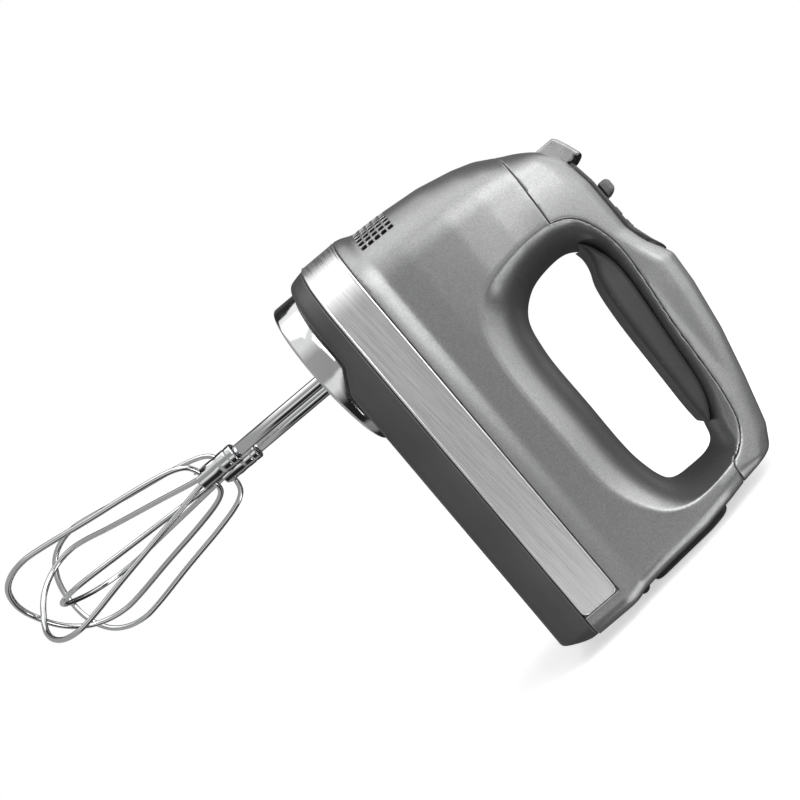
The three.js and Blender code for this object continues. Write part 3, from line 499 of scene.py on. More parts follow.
def settle(vertices, field, reach, rounds=3):
    """Moves points onto the field's zero surface, by at most reach in each round."""
    h = 0.04
    for _ in range(rounds):
        x, y, z = vertices.T
        f = field(x, y, z)
        gradient = np.stack([field(x + h, y, z) - f, field(x, y + h, z) - f, field(x, y, z + h) - f], 1) / h
        size = np.maximum((gradient**2).sum(1), 1e-3)
        move = -gradient * (f / size)[:, None]
        length = np.linalg.norm(move, axis=1, keepdims=True)
        vertices = vertices + move * np.minimum(1, reach / np.maximum(length, 1e-9))
    return vertices


def make_mesh(name, vertices, faces):
    mesh = bpy.data.meshes.new(name)
    mesh.from_pydata(vertices.tolist(), [], [list(f) for f in faces])
    mesh.update()
    made = bpy.data.objects.new(name, mesh)
    bpy.context.scene.collection.objects.link(made)
    mesh.polygons.foreach_set("use_smooth", np.ones(len(mesh.polygons), bool))
    return made


def steps_between(*stops):
    """Grid positions from rows of (start, step), the last row being (end,)."""
    parts = []
    for (start, step), nxt in zip(stops[:-1], stops[1:]):
        count = max(1, round((nxt[0] - start) / step))
        parts.append(np.linspace(start, nxt[0], count, endpoint=False))
    return np.concatenate(parts + [[stops[-1][0]]])


def moulded(name, field, xs, ys, zs, mirrored=True):
    """A piece from its field. A mirrored piece's field takes the distance from the centre plane as y."""
    if mirrored:
        half = field(xs[:, None, None], ys[None, :, None], zs[None, None, :])
        values = np.concatenate([half[:, :0:-1], half], axis=1)
        ys = np.concatenate([-ys[:0:-1], ys])
        whole = lambda x, y, z: field(x, np.abs(y), z)
    else:
        values = field(xs[:, None, None], ys[None, :, None], zs[None, None, :])
        whole = field
    values = np.where(np.abs(values) < 1e-6, 1e-6, values)
    vertices, quads = surface_net(values, (xs, ys, zs))
    reach = 0.5 * min(np.diff(xs).min(), np.diff(zs).min())
    vertices = settle(vertices, whole, reach)
    return make_mesh(name, to_row(vertices), quads)


def tube_mesh(name, rings, closed_path=False):
    """A mesh from rings of points, joined one to the next. An open path gets a cap at each end."""
    rings = np.asarray(rings, float)
    count, sides = rings.shape[:2]
    faces = []
    spans = count if closed_path else count - 1
    for i in range(spans):
        j = (i + 1) % count
        for k in range(sides):
            m = (k + 1) % sides
            faces.append([i * sides + k, i * sides + m, j * sides + m, j * sides + k])
    if not closed_path:
        faces.append(list(range(sides))[::-1])
        faces.append([(count - 1) * sides + k for k in range(sides)])
    return make_mesh(name, to_row(rings.reshape(-1, 3)), faces)


def turned(name, profile, y, sides):
    """A solid of revolution about a beater's upright axis, from a profile of (radius, z)."""
    p = np.array(profile, float)
    angles = np.arange(sides) * 2 * math.pi / sides
    rings = [[[r * math.cos(a), y + r * math.sin(a), z] for r, z in p] for a in angles]
    return tube_mesh(name, rings, closed_path=True)


def swept_wire(path, radius, sides=14):
    """Rings of a round wire along a path of points, narrowed at both ends."""
    path = np.asarray(path, float)
    tangent = np.gradient(path, axis=0)
    tangent /= np.linalg.norm(tangent, axis=1, keepdims=True)
    side = np.cross(tangent[0], [0.3, 0.9, 0.2])
    rings, angles = [], np.arange(sides) * 2 * math.pi / sides
    scales = np.ones(len(path))
    scales[0] = scales[-1] = 0.55
    for p, t, scale in zip(path, tangent, scales):
        side = side - t * (side @ t)
        side /= np.linalg.norm(side)
        other = np.cross(t, side)
        rings.append(p + radius * scale * (np.cos(angles)[:, None] * side + np.sin(angles)[:, None] * other))
    return rings


# ---------- trim band, collar and cord ----------

def plan_path():
    """The body's plan at the band, from one arm's end round the nose to the other's, and its normals."""
    length = NOSE_CENTRE - NOSE_FRONT
    arm_end = BAND_REAR - np.array([0, 0.15, 0.5, 1.1, 1.9, 2.5])
    side = np.concatenate([arm_end, np.linspace(145, NOSE_CENTRE + 2, 60)])
    angles = np.linspace(0, math.pi, 97)
    nose = np.stack([NOSE_CENTRE - length * np.sin(angles), -HALF_WIDTH * np.cos(angles)], 1)
    normal = np.stack([-np.sin(angles) / length, -np.cos(angles) / HALF_WIDTH], 1)
    normal /= np.linalg.norm(normal, axis=1, keepdims=True)
    left = np.stack([side, np.full(len(side), -HALF_WIDTH)], 1)
    right = np.stack([side[::-1], np.full(len(side), HALF_WIDTH)], 1)
    flat = np.zeros((len(side), 2))
    path = np.concatenate([left, nose, right])
    normals = np.concatenate([flat + [0, -1], normal, flat + [0, 1]])
    return path, normals


def trim_band():
    """The steel band: a plain face between two beads, with rounded ends."""
    path, normals = plan_path()
    corner, bead, rings = 2.5, 0.9, []
    for (x, y), (nx, ny) in zip(path, normals):
        short = max(0.0, corner - (BAND_REAR - x))
        cut = corner - math.sqrt(max(corner**2 - short**2, 0.0))
        z0, z1 = BAND_BOTTOM + cut, BAND_TOP - cut
        profile = [(-BAND_THICKNESS, z0), (-0.55, z0), (-0.2, z0 + 0.18), (0, z0 + 0.55), (0, z0 + bead),
                   (-0.14, z0 + bead + 0.2), (-0.16, z0 + bead + 0.5)]
        profile += [(-0.16, z) for z in np.linspace(z0 + 3, z1 - 3, 5)]
        profile += [(-0.16, z1 - bead - 0.5), (-0.14, z1 - bead - 0.2), (0, z1 - bead), (0, z1 - 0.55),
                    (-0.2, z1 - 0.18), (-0.55, z1), (-BAND_THICKNESS, z1)]
        rings.append([[x + nx * out, y + ny * out, z] for out, z in profile])
    return tube_mesh("trim_band", rings)


def beater_collar():
    """The chrome ring, whose upper edge follows the tub's underside."""
    rings = []
    for a in np.arange(128) * 2 * math.pi / 128:
        cx = math.cos(a)
        top = min(COLLAR_TOP, float(tub_bottom(COLLAR_X + COLLAR_RADIUS * cx)) - 0.35)
        profile = [(36.6, top), (36.6, 1.0), (36.8, 0.35), (37.3, 0.05), (37.9, 0.0), (38.4, 0.25),
                   (38.75, 0.8), (38.8, 1.6), (38.8, top * 0.5), (38.8, top - 0.3), (38.5, top)]
        rings.append([[COLLAR_X + r * cx, r * math.sin(a), z] for r, z in profile])
    return tube_mesh("beater_collar", rings, closed_path=True)


def port_plate():
    """The dark plate inside the collar, dished round the two beater sockets."""
    def field(x, q, z):
        edge = np.hypot(x - COLLAR_X, q) - 36.3
        plate = both(edge, slab(z, 2.4, 5), 0.4)
        socket = np.hypot(x, q - BEATER_Y)
        boss = both(socket - 8 - 0.5 * (z - 1), slab(z, 1, 5), 0.5)
        plate = either(plate, boss, 0.8)
        rib = both(np.abs(np.hypot(x - COLLAR_X, q) - 30) - 0.7, slab(z, 1.7, 4), 0.3)
        plate = either(plate, rib, 0.4)
        return both(plate, 5.5 - socket, 0.4)
    xs, ys, zs = np.arange(-38.5, 37, 0.55), np.arange(0, 38.6, 0.55), np.arange(0.2, 6, 0.4)
    return moulded("port_plate", field, xs, ys, zs)


def cord_rings(profile, sides):
    """Rings round the cord's line from rows of (y, radius)."""
    angles = np.arange(sides) * 2 * math.pi / sides
    return [[[SWIVEL_X + r * math.cos(a), y, SWIVEL_Z + r * math.sin(a)] for a in angles] for y, r in profile]


SLEEVE_START, SLEEVE_LENGTH, SLEEVE_RIBS = -17.3, 12, 7
SLEEVE_WIDE, SLEEVE_NARROW, SLEEVE_BORE = 3.7, 2.9, 1.95


def strain_relief():
    """The ribbed sleeve where the cord leaves the swivel."""
    rings = []
    stations = np.linspace(SLEEVE_START, SLEEVE_START - SLEEVE_LENGTH, 73)
    for y in stations:
        t = (SLEEVE_START - y) / SLEEVE_LENGTH
        rib = 0.28 * (math.cos(2 * math.pi * t * SLEEVE_RIBS) > 0.1)
        r = SLEEVE_WIDE + (SLEEVE_NARROW - SLEEVE_WIDE) * t + rib
        r -= 0.5 * max(0, (t - 0.96) / 0.04)
        rings.append((y, r))
    rings += [(stations[-1], SLEEVE_BORE), (stations[0], SLEEVE_BORE)]
    return tube_mesh("cord_strain_relief", cord_rings(rings, 32), closed_path=True)


def power_cord():
    """The short stub of jacketed cord inside the sleeve, with a rounded cut end."""
    profile = [(-9.0, 1.3), (-9.2, 1.7), (-9.8, 1.75)] + [(y, 1.75) for y in np.linspace(-12, -30, 10)]
    profile += [(-30.6, 1.72), (-31, 1.45)]
    return tube_mesh("power_cord", cord_rings(profile, 28))


# ---------- ejector spring ----------

SPRING_X, SPRING_RADIUS, SPRING_WIRE, SPRING_TURNS = -9.5, 4.0, 0.5, 6
SPRING_BOTTOM, SPRING_TOP = 98.9, 126.1


def ejector_spring():
    """The coil between the rod's guide and the button."""
    t = np.linspace(0, 1, 30 * SPRING_TURNS + 1)
    angle = 2 * math.pi * SPRING_TURNS * t
    path = np.stack([SPRING_X + SPRING_RADIUS * np.cos(angle), SPRING_RADIUS * np.sin(angle),
                     SPRING_BOTTOM + (SPRING_TOP - SPRING_BOTTOM) * t], 1)
    return tube_mesh("ejector_spring_coil", swept_wire(path, SPRING_WIRE, sides=10))


def shorten_spring(coil):
    """Gives the coil a mesh of its own."""
    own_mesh(coil)


# ---------- beaters ----------

# Half of each wire loop (distance from the beater's axis, z), from inside the ferrule down to the tip.
SHOULDERED_HALF = [[2.2, -70.6], [6.5, -70.6], [10.4, -71.8], [13, -74.6], [15.2, -79.6], [18.2, -92],
                   [22.3, -115], [26.8, -138], [27.6, -146], [26, -154.5], [21.8, -161.5], [15, -166.2],
                   [8, -168.4], [0, -168.9]]
PLAIN_HALF = [[2.2, -61], [2.2, -72], [3.6, -78], [9.7, -96], [19.2, -125], [24.6, -140], [26, -147.5],
              [24.4, -155], [19.8, -160.8], [13, -164.6], [6.5, -165.9], [0, -166.1]]
WIRE_RADIUS = 1.25
FERRULE_TOP, FERRULE_BOTTOM, FERRULE_RADIUS = -53.0, -73.5, 4.85


def turn_about(points, turn, y):
    """Points turned about a beater's axis, which stands at y."""
    p = np.asarray(points, float)
    c, s = math.cos(turn), math.sin(turn)
    return np.stack([p[:, 0] * c - p[:, 1] * s, p[:, 0] * s + p[:, 1] * c + y, p[:, 2]], 1)


def wire_loop(name, half, turn, y):
    """A closed loop of wire from its half outline."""
    mirrored = [[-r, z] for r, z in half[-2::-1]]
    flat = curve_points(half + mirrored, 9, closed=False)
    path = np.stack([flat[:, 0], np.zeros(len(flat)), flat[:, 1]], 1)
    rings = np.array(swept_wire(path, WIRE_RADIUS))
    return tube_mesh(name, turn_about(rings.reshape(-1, 3), turn, y).reshape(rings.shape))


def ferrule(name, turn, y):
    """The crimped sleeve that holds both loops on the shaft, slotted for the shouldered one."""
    def field(px, py, z):
        c, s = math.cos(turn), math.sin(turn)
        x, t = px * c + (py - y) * s, -px * s + (py - y) * c
        radius = np.hypot(x, t)
        flat = 0.35 + 0.65 * np.abs(t / np.maximum(radius, 0.1)) ** 3
        squeeze = 0.45 * np.exp(-((z + 62.5) / 1.6) ** 2) * flat
        waist = 0.22 * np.exp(-((z + 56.6) / 0.5) ** 2)
        wall = both(radius - FERRULE_RADIUS + squeeze + waist, slab(z, FERRULE_BOTTOM, FERRULE_TOP), 0.55)
        wall = np.maximum(wall, 3.25 - radius)
        wall = np.maximum(wall, -np.maximum(radius - 3.9, z + 59.5))
        slot = both(np.abs(t) - 1.6, z + 66.6, 1.2)
        return both(wall, -slot, 0.25)
    xs, ys = np.arange(-5.7, 5.8, 0.3), y + np.arange(-5.7, 5.8, 0.3)
    return moulded(name, field, xs, ys, np.arange(-74.4, -52.2, 0.3), mirrored=False)


def beater(side, y, turn):
    """Shaft, ferrule and two wire loops of one beater."""
    name = f"{side}_beater"
    profile = [[0, -58.6], [2.6, -58.6], [3.0, -58.2], [3.0, -20], [3.0, 30], [3.0, 55], [2.75, 56],
               [2.75, 59], [3.0, 60], [3.0, 67.9], [2.5, 68.9], [1.6, 70.0], [0, 70.2]]
    return [
        (f"{name}_shaft", turned(f"{name}_shaft_turned", profile, y, 40)),
        (f"{name}_ferrule", ferrule(f"{name}_ferrule_crimped", turn, y)),
        (f"{name}_shouldered_loop", wire_loop(f"{name}_shouldered_wire", SHOULDERED_HALF, turn, y)),
        (f"{name}_plain_loop", wire_loop(f"{name}_plain_wire", PLAIN_HALF, turn + math.pi / 2, y)),
    ]


# ---------- materials ----------

class Nodes:
    """A short way to write a node tree."""

    def __init__(self, tree):
        self.tree = tree

    def add(self, kind, **settings):
        node = self.tree.nodes.new(kind)
        for key, value in settings.items():
            setattr(node, key, value)
        return node

    def put(self, socket, value):
        if isinstance(value, bpy.types.NodeSocket):
            self.tree.links.new(value, socket)
        else:
            socket.default_value = value

    def spread(self, value, low, high, start=0.3, end=0.7):
        """The value from start to end, turned into low to high."""
        node = self.add("ShaderNodeMapRange")
        self.put(node.inputs["Value"], value)
        for key, number in (("From Min", start), ("From Max", end), ("To Min", low), ("To Max", high)):
            node.inputs[key].default_value = number
        return node.outputs["Result"]

    def mixed(self, share, first, second):
        node = self.add("ShaderNodeMix", data_type="RGBA")
        self.put(node.inputs["Factor"], share)
        self.put(node.inputs[6], first)
        self.put(node.inputs[7], second)
        return node.outputs[2]


class Finish(Nodes):
    """A material and its node tree, with the patterns that the finishes are made of."""

    def __init__(self, name):
        self.material = bpy.data.materials.new(name)
        self.material.use_nodes = True
        super().__init__(self.material.node_tree)
        self.shader = self.tree.nodes["Principled BSDF"]
        self.place = self.add("ShaderNodeTexCoord").outputs["Object"]

    def stretched(self, scale):
        """Places scaled along the mixer's own directions."""
        mapping = self.add("ShaderNodeMapping")
        self.put(mapping.inputs["Vector"], self.place)
        mapping.inputs["Rotation"].default_value = (0, -HEEL_TILT, 0)
        mapping.inputs["Scale"].default_value = scale
        return mapping.outputs["Vector"]

    def noise(self, scale, detail=2.0, vector=None):
        node = self.add("ShaderNodeTexNoise")
        self.put(node.inputs["Vector"], vector or self.place)
        node.inputs["Scale"].default_value = scale
        node.inputs["Detail"].default_value = detail
        return node.outputs["Fac"]

    def flakes(self, scale):
        node = self.add("ShaderNodeTexVoronoi", feature="F1")
        self.put(node.inputs["Vector"], self.place)
        node.inputs["Scale"].default_value = scale
        return node.outputs["Color"]

    def painted_edge_highlight(self, most):
        """Up to most where the surface turns sharply outward, 0 elsewhere: the mask of a painted highlight
        along edges.
        """
        pointiness = self.add("ShaderNodeNewGeometry").outputs["Pointiness"]
        return self.spread(pointiness, 0.0, most, 0.52, 0.60)

    def bump(self, height, strength, distance):
        node = self.add("ShaderNodeBump")
        self.put(node.inputs["Height"], height)
        node.inputs["Strength"].default_value = strength
        node.inputs["Distance"].default_value = distance
        self.put(self.shader.inputs["Normal"], node.outputs["Normal"])


def grey(value, tint=0.0):
    return (value * (1 - tint), value, value * (1 + tint), 1.0)


def silver_paint():
    """Metallic paint: fine bright flakes under a satin lacquer."""
    n = Finish("silver_paint")
    flake = n.add("ShaderNodeSeparateColor")
    n.put(flake.inputs["Color"], n.flakes(2600))
    sparkle = n.spread(flake.outputs["Red"], 0.0, 1.0, 0.0, 1.0)
    base = n.mixed(sparkle, grey(0.24, 0.006), grey(0.33, 0.004))
    cloud = n.noise(45, 3)
    base = n.mixed(n.spread(cloud, 0.0, 0.22), base, grey(0.26, 0.01))
    # Painted highlight: the sharp edges are mixed towards a pale grey.
    base = n.mixed(n.painted_edge_highlight(0.35), base, grey(0.62))
    n.put(n.shader.inputs["Base Color"], base)
    n.shader.inputs["Metallic"].default_value = 0.85
    n.put(n.shader.inputs["Roughness"], n.spread(n.noise(900, 2), 0.33, 0.42))
    n.shader.inputs["Coat Weight"].default_value = 0.35
    n.put(n.shader.inputs["Coat Roughness"], n.spread(n.noise(60, 3), 0.16, 0.26))
    n.bump(n.noise(1500, 2), 0.12, 0.00008)
    return n.material


def brushed_steel():
    """Stainless steel with brush lines along the mixer."""
    n = Finish("brushed_steel")
    along = n.stretched((5200, 55, 55))
    lines = n.noise(1.0, 3, along)
    n.put(n.shader.inputs["Base Color"], n.mixed(n.spread(lines, 0.0, 1.0), grey(0.66), grey(0.88)))
    n.shader.inputs["Metallic"].default_value = 1.0
    n.put(n.shader.inputs["Roughness"], n.spread(lines, 0.24, 0.38))
    n.bump(lines, 0.25, 0.00006)
    return n.material


def polished_chrome():
    """Mirror chrome with a faint haze."""
    n, shade = Finish("polished_chrome"), 0.72
    haze = n.noise(70, 4)
    base = n.mixed(n.spread(haze, 0.0, 1.0), grey(shade), grey(shade * 0.9, 0.01))
    n.put(n.shader.inputs["Base Color"], base)
    n.shader.inputs["Metallic"].default_value = 1.0
    n.put(n.shader.inputs["Roughness"], n.spread(n.noise(260, 4), 0.06, 0.15))
    n.bump(n.noise(420, 2), 0.06, 0.00005)
    return n.material


def moulded_plastic(name, value, roughness=0.5, grain=1700.0, depth=0.00006, tint=0.0, sheen=0.0):
    """Plastic with a fine moulded grain, and a painted highlight that lightens its sharp edges."""
    n = Finish(name)
    cloud = n.noise(38, 4)
    base = n.mixed(n.spread(cloud, 0.0, 1.0), grey(value * 0.88, tint), grey(value * 1.12, tint))
    # Painted highlight: the sharp edges are mixed towards a lighter grey.
    highlight_colour = grey(min(value * 2.4, 0.7), tint)
    base = n.mixed(n.painted_edge_highlight(0.5), base, highlight_colour)
    n.put(n.shader.inputs["Base Color"], base)
    n.put(n.shader.inputs["Roughness"], n.spread(n.noise(grain * 0.4, 3), roughness - 0.07, roughness + 0.07))
    n.shader.inputs["Sheen Weight"].default_value = sheen
    n.bump(n.noise(grain, 2), 0.5, depth)
    return n.material


def gloss_panel(name):
    """Dark glossy plastic with a thin clear coat."""
    n = Finish(name)
    smear = n.noise(55, 5)
    base = n.mixed(n.spread(smear, 0.0, 1.0), grey(0.022, 0.02), grey(0.034, 0.02))
    n.put(n.shader.inputs["Base Color"], base)
    n.put(n.shader.inputs["Roughness"], n.spread(smear, 0.2, 0.34))
    n.shader.inputs["Coat Weight"].default_value = 0.15
    n.shader.inputs["Coat Roughness"].default_value = 0.12
    n.shader.inputs["Specular IOR Level"].default_value = 0.3
    n.bump(n.noise(900, 2), 0.12, 0.00004)
    return n.material


def cast_metal(name, colour, roughness, grain=700.0):
    """Bare metal of an inner piece, with a grainy surface and darker patches."""
    n = Finish(name)
    patches = n.noise(90, 4)
    dark = tuple(c * 0.72 for c in colour) + (1.0,)
    n.put(n.shader.inputs["Base Color"], n.mixed(n.spread(patches, 0.0, 1.0), dark, colour + (1.0,)))
    n.shader.inputs["Metallic"].default_value = 1.0
    n.put(n.shader.inputs["Roughness"], n.spread(n.noise(300, 3), roughness - 0.08, roughness + 0.1))
    n.bump(n.noise(grain, 3), 0.3, 0.0001)
    return n.material


def laminated():
    """Stacked iron sheets, seen as fine lines across the motor's axis."""
    n = Finish("iron_lamination")
    sheets = n.add("ShaderNodeTexWave", wave_type="BANDS", bands_direction="Z")
    n.put(sheets.inputs["Vector"], n.stretched((1, 1, 1)))
    sheets.inputs["Scale"].default_value = 300
    sheets.inputs["Distortion"].default_value = 0.4
    n.put(n.shader.inputs["Base Color"], n.mixed(sheets.outputs["Fac"], grey(0.12), grey(0.26)))
    n.shader.inputs["Metallic"].default_value = 0.85
    n.put(n.shader.inputs["Roughness"], n.spread(n.noise(400, 3), 0.4, 0.6))
    n.bump(sheets.outputs["Fac"], 0.5, 0.0002)
    return n.material


def wound():
    """Enamelled copper wire, wound in fine turns."""
    n = Finish("copper_winding")
    turns = n.add("ShaderNodeTexWave", wave_type="BANDS", bands_direction="DIAGONAL")
    n.put(turns.inputs["Vector"], n.place)
    turns.inputs["Scale"].default_value = 450
    turns.inputs["Distortion"].default_value = 0.8
    n.put(n.shader.inputs["Base Color"],
          n.mixed(turns.outputs["Fac"], (0.28, 0.09, 0.035, 1), (0.72, 0.3, 0.13, 1)))
    n.shader.inputs["Metallic"].default_value = 0.9
    n.put(n.shader.inputs["Roughness"], n.spread(n.noise(500, 3), 0.26, 0.42))
    n.bump(turns.outputs["Fac"], 0.6, 0.0002)
    return n.material


FINISHES = {
    "silver_paint": silver_paint(),
    "brushed_steel": brushed_steel(),
    "satin_steel": cast_metal("satin_steel", (0.3, 0.3, 0.305), 0.3, grain=1600),
    "polished_chrome": polished_chrome(),
    "charcoal_plastic": moulded_plastic("charcoal_plastic", 0.052, 0.42),
    "soft_grip": moulded_plastic("soft_grip", 0.045, 0.62, grain=1300, depth=0.00012, sheen=0.15),
    "black_rubber": moulded_plastic("black_rubber", 0.02, 0.7, grain=900, depth=0.0001),
    "gloss_panel": gloss_panel("gloss_panel"),
    "grey_knob": moulded_plastic("grey_knob", 0.09, 0.42, grain=2000, depth=0.00004),
    "smoked_window": gloss_panel("smoked_window"),
    "black_plastic": moulded_plastic("black_plastic", 0.018, 0.5),
    "board_laminate": moulded_plastic("board_laminate", 0.08, 0.5, tint=-0.3),
    "nylon": moulded_plastic("nylon", 0.7, 0.45, tint=-0.05),
    "cast_frame": cast_metal("cast_frame", (0.42, 0.43, 0.45), 0.5),
    "iron_lamination": laminated(),
    "steel": cast_metal("steel", (0.58, 0.58, 0.6), 0.3, grain=1200),
    "copper": wound(),
    "brass": cast_metal("brass", (0.66, 0.5, 0.2), 0.32),
}


RECORD_SLOT = {part["node"]: part["material_slot"] for part in frame["record"]["subparts"]}
# Nodes whose finish isn't their slot's own. The record has no slot for satin steel.
OTHER_FINISH = {"vent_baffle": "black_plastic", "heel_rest": "black_rubber", "ejector_button": "satin_steel"}


def give_finish(piece, node):
    """Gives the piece the finish for a CAD node."""
    finish = OTHER_FINISH.get(node, RECORD_SLOT[node])
    piece.data.materials.clear()
    piece.data.materials.append(FINISHES[finish])
    finish if finish in RECORD_SLOT.values() else RECORD_SLOT[node]


# Each moulded piece: its name, the CAD node it replaces, its field, and its grid's stops along x, y and z.
MOULDED = [
    ("upper_housing_shell", "upper_housing", upper_housing, ((-47.4, 0.45), (-20, 0.8), (163.4,)),
     ((0, 0.45), (38.4, 0.8), (47.2,)), ((21, 0.8), (47.6, 0.45), (68.2, 0.8), (139,))),
    ("top_cover_shell", "top_cover", top_cover,
     ((-36, 0.7), (156,)), ((0, 0.7), (37,)), ((108, 0.7), (159,))),
    ("lower_housing_tub", "lower_housing", lower_housing,
     ((-47, 0.8), (163.4,)), ((0, 0.8), (46.6,)), ((5, 0.55), (23.2,))),
    ("control_panel_insert", "control_panel", control_panel,
     ((-4, 0.5), (56,)), ((0, 0.5), (16.5,)), ((141, 0.5), (159,))),
    ("display_window_pane", "display_window", display_window,
     ((-0.5, 0.35), (8,)), ((0, 0.35), (7,)), ((146, 0.3), (151.5,))),
    ("speed_down_cap", "speed_down_button", speed_button(27),
     ((24, 0.3), (30,)), ((0, 0.3), (6.6,)), ((141, 0.3), (154.5,))),
    ("speed_up_cap", "speed_up_button", speed_button(34.6),
     ((31.6, 0.3), (37.6,)), ((0, 0.3), (6.6,)), ((141, 0.3), (155.5,))),
    ("power_switch_cap", "power_switch_knob", power_switch_knob,
     ((11, 0.25), (19.2,)), ((0, 0.3), (7,)), ((139, 0.3), (157.2,))),
    ("ejector_cap", "ejector_button", ejector_button,
     ((-18, 0.35), (-3,)), ((0, 0.35), (10.7,)), ((126.4, 0.35), (155.2,))),
    ("handle_grip_pad", "handle_grip", handle_grip,
     ((25, 0.5), (129,)), ((0, 0.5), (17,)), ((115, 0.5), (134,))),
    ("heel_pad", "heel_rest", heel_rest, ((154, 0.4), (166,)), ((0, 0.5), (26,)), ((53, 0.4), (101,))),
    ("cord_swivel_hub", "cord_swivel", cord_swivel,
     ((155.5, 0.3), (165.2,)), ((-17.8, 0.3), (5,)), ((42.8, 0.3), (53.8,))),
]

made_for = []
for name, node, field, *stops in MOULDED:
    grid = [steps_between(*axis_stops) for axis_stops in stops]
    made_for.append((node, moulded(name, field, *grid, mirrored=field is not cord_swivel)))
made_for += [("trim_band", trim_band()), ("beater_collar", beater_collar()), ("port_plate", port_plate()),
             ("cord_strain_relief", strain_relief()), ("power_cord", power_cord())]
spring_coil = ejector_spring()
made_for.append(("ejector_spring", spring_coil))
for side, y, turn in (("left", -BEATER_Y, math.pi / 4), ("right", BEATER_Y, 0.0)):
    made_for += beater(side, y, turn)
for node, piece in made_for:
    give_finish(piece, node)
    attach(piece, body_of(nodes[node])[0])
    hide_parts(node)
shorten_spring(spring_coil)
for name, node in nodes.items():
    if not node.hide_render:
        give_finish(node, name)


# ---------- floor, light and camera ----------

def surroundings(n):
    """The studio as metal reflects it: upright light and dark panels, a bright ceiling and a grey ground."""
    direction = n.add("ShaderNodeTexCoord").outputs["Generated"]

    def along(axis):
        dot = n.add("ShaderNodeVectorMath", operation="DOT_PRODUCT")
        n.put(dot.inputs[0], direction)
        n.put(dot.inputs[1], axis)
        return dot.outputs["Value"]

    rearward = along((math.cos(TURN), 0, -math.sin(TURN)))
    towards_camera = along((0, -1, 0))
    upward = along((math.sin(TURN), 0, math.cos(TURN)))
    around = n.add("ShaderNodeMath", operation="ARCTAN2")
    n.put(around.inputs[0], rearward)
    n.put(around.inputs[1], towards_camera)
    panels = n.add("ShaderNodeValToRGB")
    n.put(panels.inputs["Fac"], n.spread(around.outputs["Value"], 0, 1, -math.pi, math.pi))
    # Share of a turn round the mixer (0.5 faces the camera, 0.75 the mixer's rear) and brightness there.
    stops = [(0.0, 0.04), (0.10, 0.1), (0.14, 0.03), (0.22, 0.03), (0.26, 1.0), (0.38, 1.0), (0.43, 0.42),
             (0.53, 0.4), (0.54, 1.0), (0.575, 1.0), (0.60, 0.5), (0.62, 0.2), (0.64, 0.02), (0.75, 0.02),
             (0.77, 0.3), (0.83, 0.25), (0.86, 0.02), (1.0, 0.04)]
    ramp = panels.color_ramp
    while len(ramp.elements) < len(stops):
        ramp.elements.new(0.5)
    for element, (place, level) in zip(ramp.elements, stops):
        element.position = place
        element.color = grey(level)
    overhead = n.spread(rearward, 1.7, 0.26, -0.35, 0.05)
    ceiling = n.mixed(n.spread(upward, 0, 1, 0.5, 0.75), panels.outputs["Color"], overhead)
    return n.mixed(n.spread(upward, 0, 1, -0.4, -0.6), ceiling, grey(0.45))


def studio():
    """A white world and floor as the camera sees them, and surroundings() for every other ray."""
    scene = bpy.context.scene
    scene.view_settings.view_transform = "Standard"
    world = bpy.data.worlds.new("studio")
    scene.world = world
    world.use_nodes = True
    n = Nodes(world.node_tree)
    background = n.tree.nodes["Background"]
    seen = n.add("ShaderNodeLightPath").outputs["Is Camera Ray"]
    n.put(background.inputs["Color"], n.mixed(seen, surroundings(n), (1, 1, 1, 1)))
    background.inputs["Strength"].default_value = 1.0

    floor = Finish("floor_paper")
    tone = floor.noise(6, 3)
    base = floor.mixed(floor.spread(tone, 0.0, 1.0), grey(0.86), grey(0.9))
    floor.put(floor.shader.inputs["Base Color"], base)
    floor.shader.inputs["Roughness"].default_value = 0.9
    floor.shader.inputs["Emission Color"].default_value = (1, 1, 1, 1)
    glow = floor.add("ShaderNodeLightPath").outputs["Is Camera Ray"]
    floor.put(floor.shader.inputs["Emission Strength"], floor.spread(glow, 0.0, 0.55, 0, 1))
    size, height = 2.5, -0.0005
    corners = [(-size, -size, height), (size, -size, height), (size, size, height), (-size, size, height)]
    mesh = bpy.data.meshes.new("floor")
    mesh.from_pydata(corners, [], [(0, 1, 2, 3)])
    plane = bpy.data.objects.new("floor", mesh)
    mesh.materials.append(floor.material)
    scene.collection.objects.link(plane)
    plane.visible_glossy = False


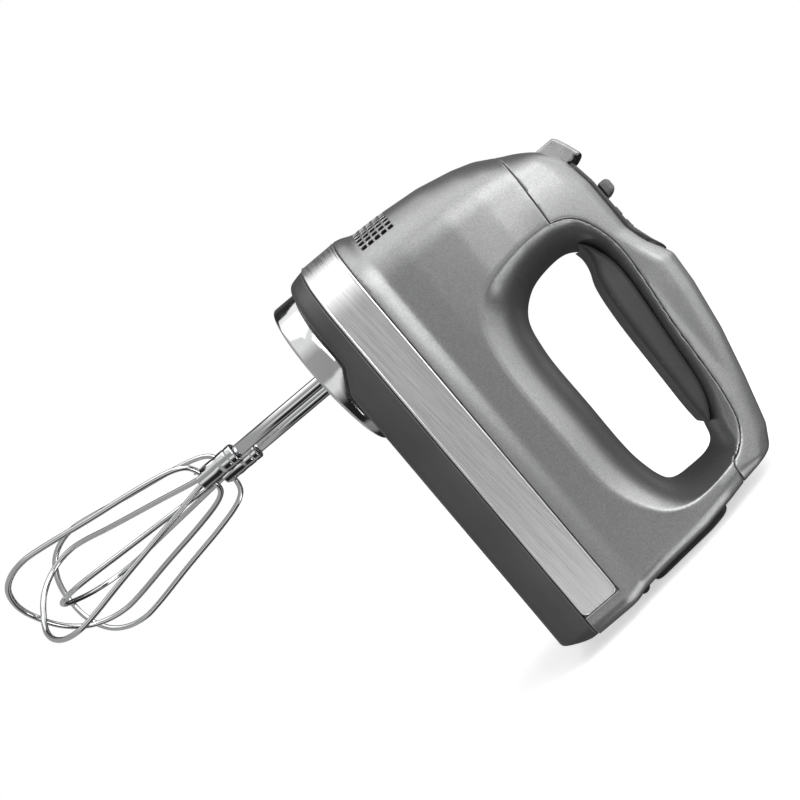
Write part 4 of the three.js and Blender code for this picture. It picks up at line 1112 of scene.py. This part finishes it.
def area_light(name, place, aim, size, power):
    """A soft lamp, placed and aimed by points of the working frame."""
    data = bpy.data.lights.new(name, "AREA")
    data.shape, data.size, data.size_y = "RECTANGLE", size[0], size[1]
    data.energy = power
    lamp = bpy.data.objects.new(name, data)
    here, there = (Vector(to_row([p])[0]) for p in (place, aim))
    lamp.location = here
    lamp.rotation_mode = "QUATERNION"
    lamp.rotation_quaternion = (there - here).to_track_quat("-Z", "Y")
    bpy.context.scene.collection.objects.link(lamp)


CAMERA_PLACE = (68.4, -398, 66.5)
CAMERA_ROLL = math.radians(49.83497)


def camera():
    """The photograph's view: square to the mixer's side, rolled so that its top points up and right."""
    eye = Vector(to_row([CAMERA_PLACE])[0])
    origin = to_row([[0, 0, 0]])[0]
    c, s = 1000 * math.cos(CAMERA_ROLL), 1000 * math.sin(CAMERA_ROLL)
    right = Vector(to_row([[c, 0, s]])[0] - origin)
    up = Vector(to_row([[-s, 0, c]])[0] - origin)
    back = right.cross(up).normalized()
    data = bpy.data.cameras.new("camera")
    data.lens, data.sensor_width = 38.475, 36.0
    data.clip_start, data.clip_end = 0.02, 20
    made = bpy.data.objects.new("camera", data)
    made.rotation_mode = "QUATERNION"
    axes = Matrix((right.normalized(), up.normalized(), back))
    made.rotation_quaternion = axes.transposed().to_quaternion()
    made.location = eye
    bpy.context.scene.collection.objects.link(made)
    bpy.context.scene.camera = made
    # The picture sits beside the lens axis. The shift holds only at this place, so a view from elsewhere
    # stays centred.
    for socket, amount in (("shift_x", -0.172), ("shift_y", -0.004)):
        driver = data.driver_add(socket).driver
        place = driver.variables.new()
        place.name = "here"
        place.type = "TRANSFORMS"
        place.targets[0].id = made
        place.targets[0].transform_type = "LOC_Y"
        place.targets[0].transform_space = "WORLD_SPACE"
        driver.expression = f"{amount} * (abs(here + {-CAMERA_PLACE[1] / 1000}) < 0.0005)"


studio()
area_light("key", (-260, -420, 420), (60, 0, 60), (0.5, 0.5), 2.0)
area_light("top", (60, -200, 700), (60, 0, 80), (0.7, 0.5), 1.1)
area_light("front", (-500, -60, 60), (0, 0, 60), (0.5, 0.5), 0.9)
area_light("rear", (600, -200, 250), (120, 0, 80), (0.4, 0.4), 1.3)
camera()
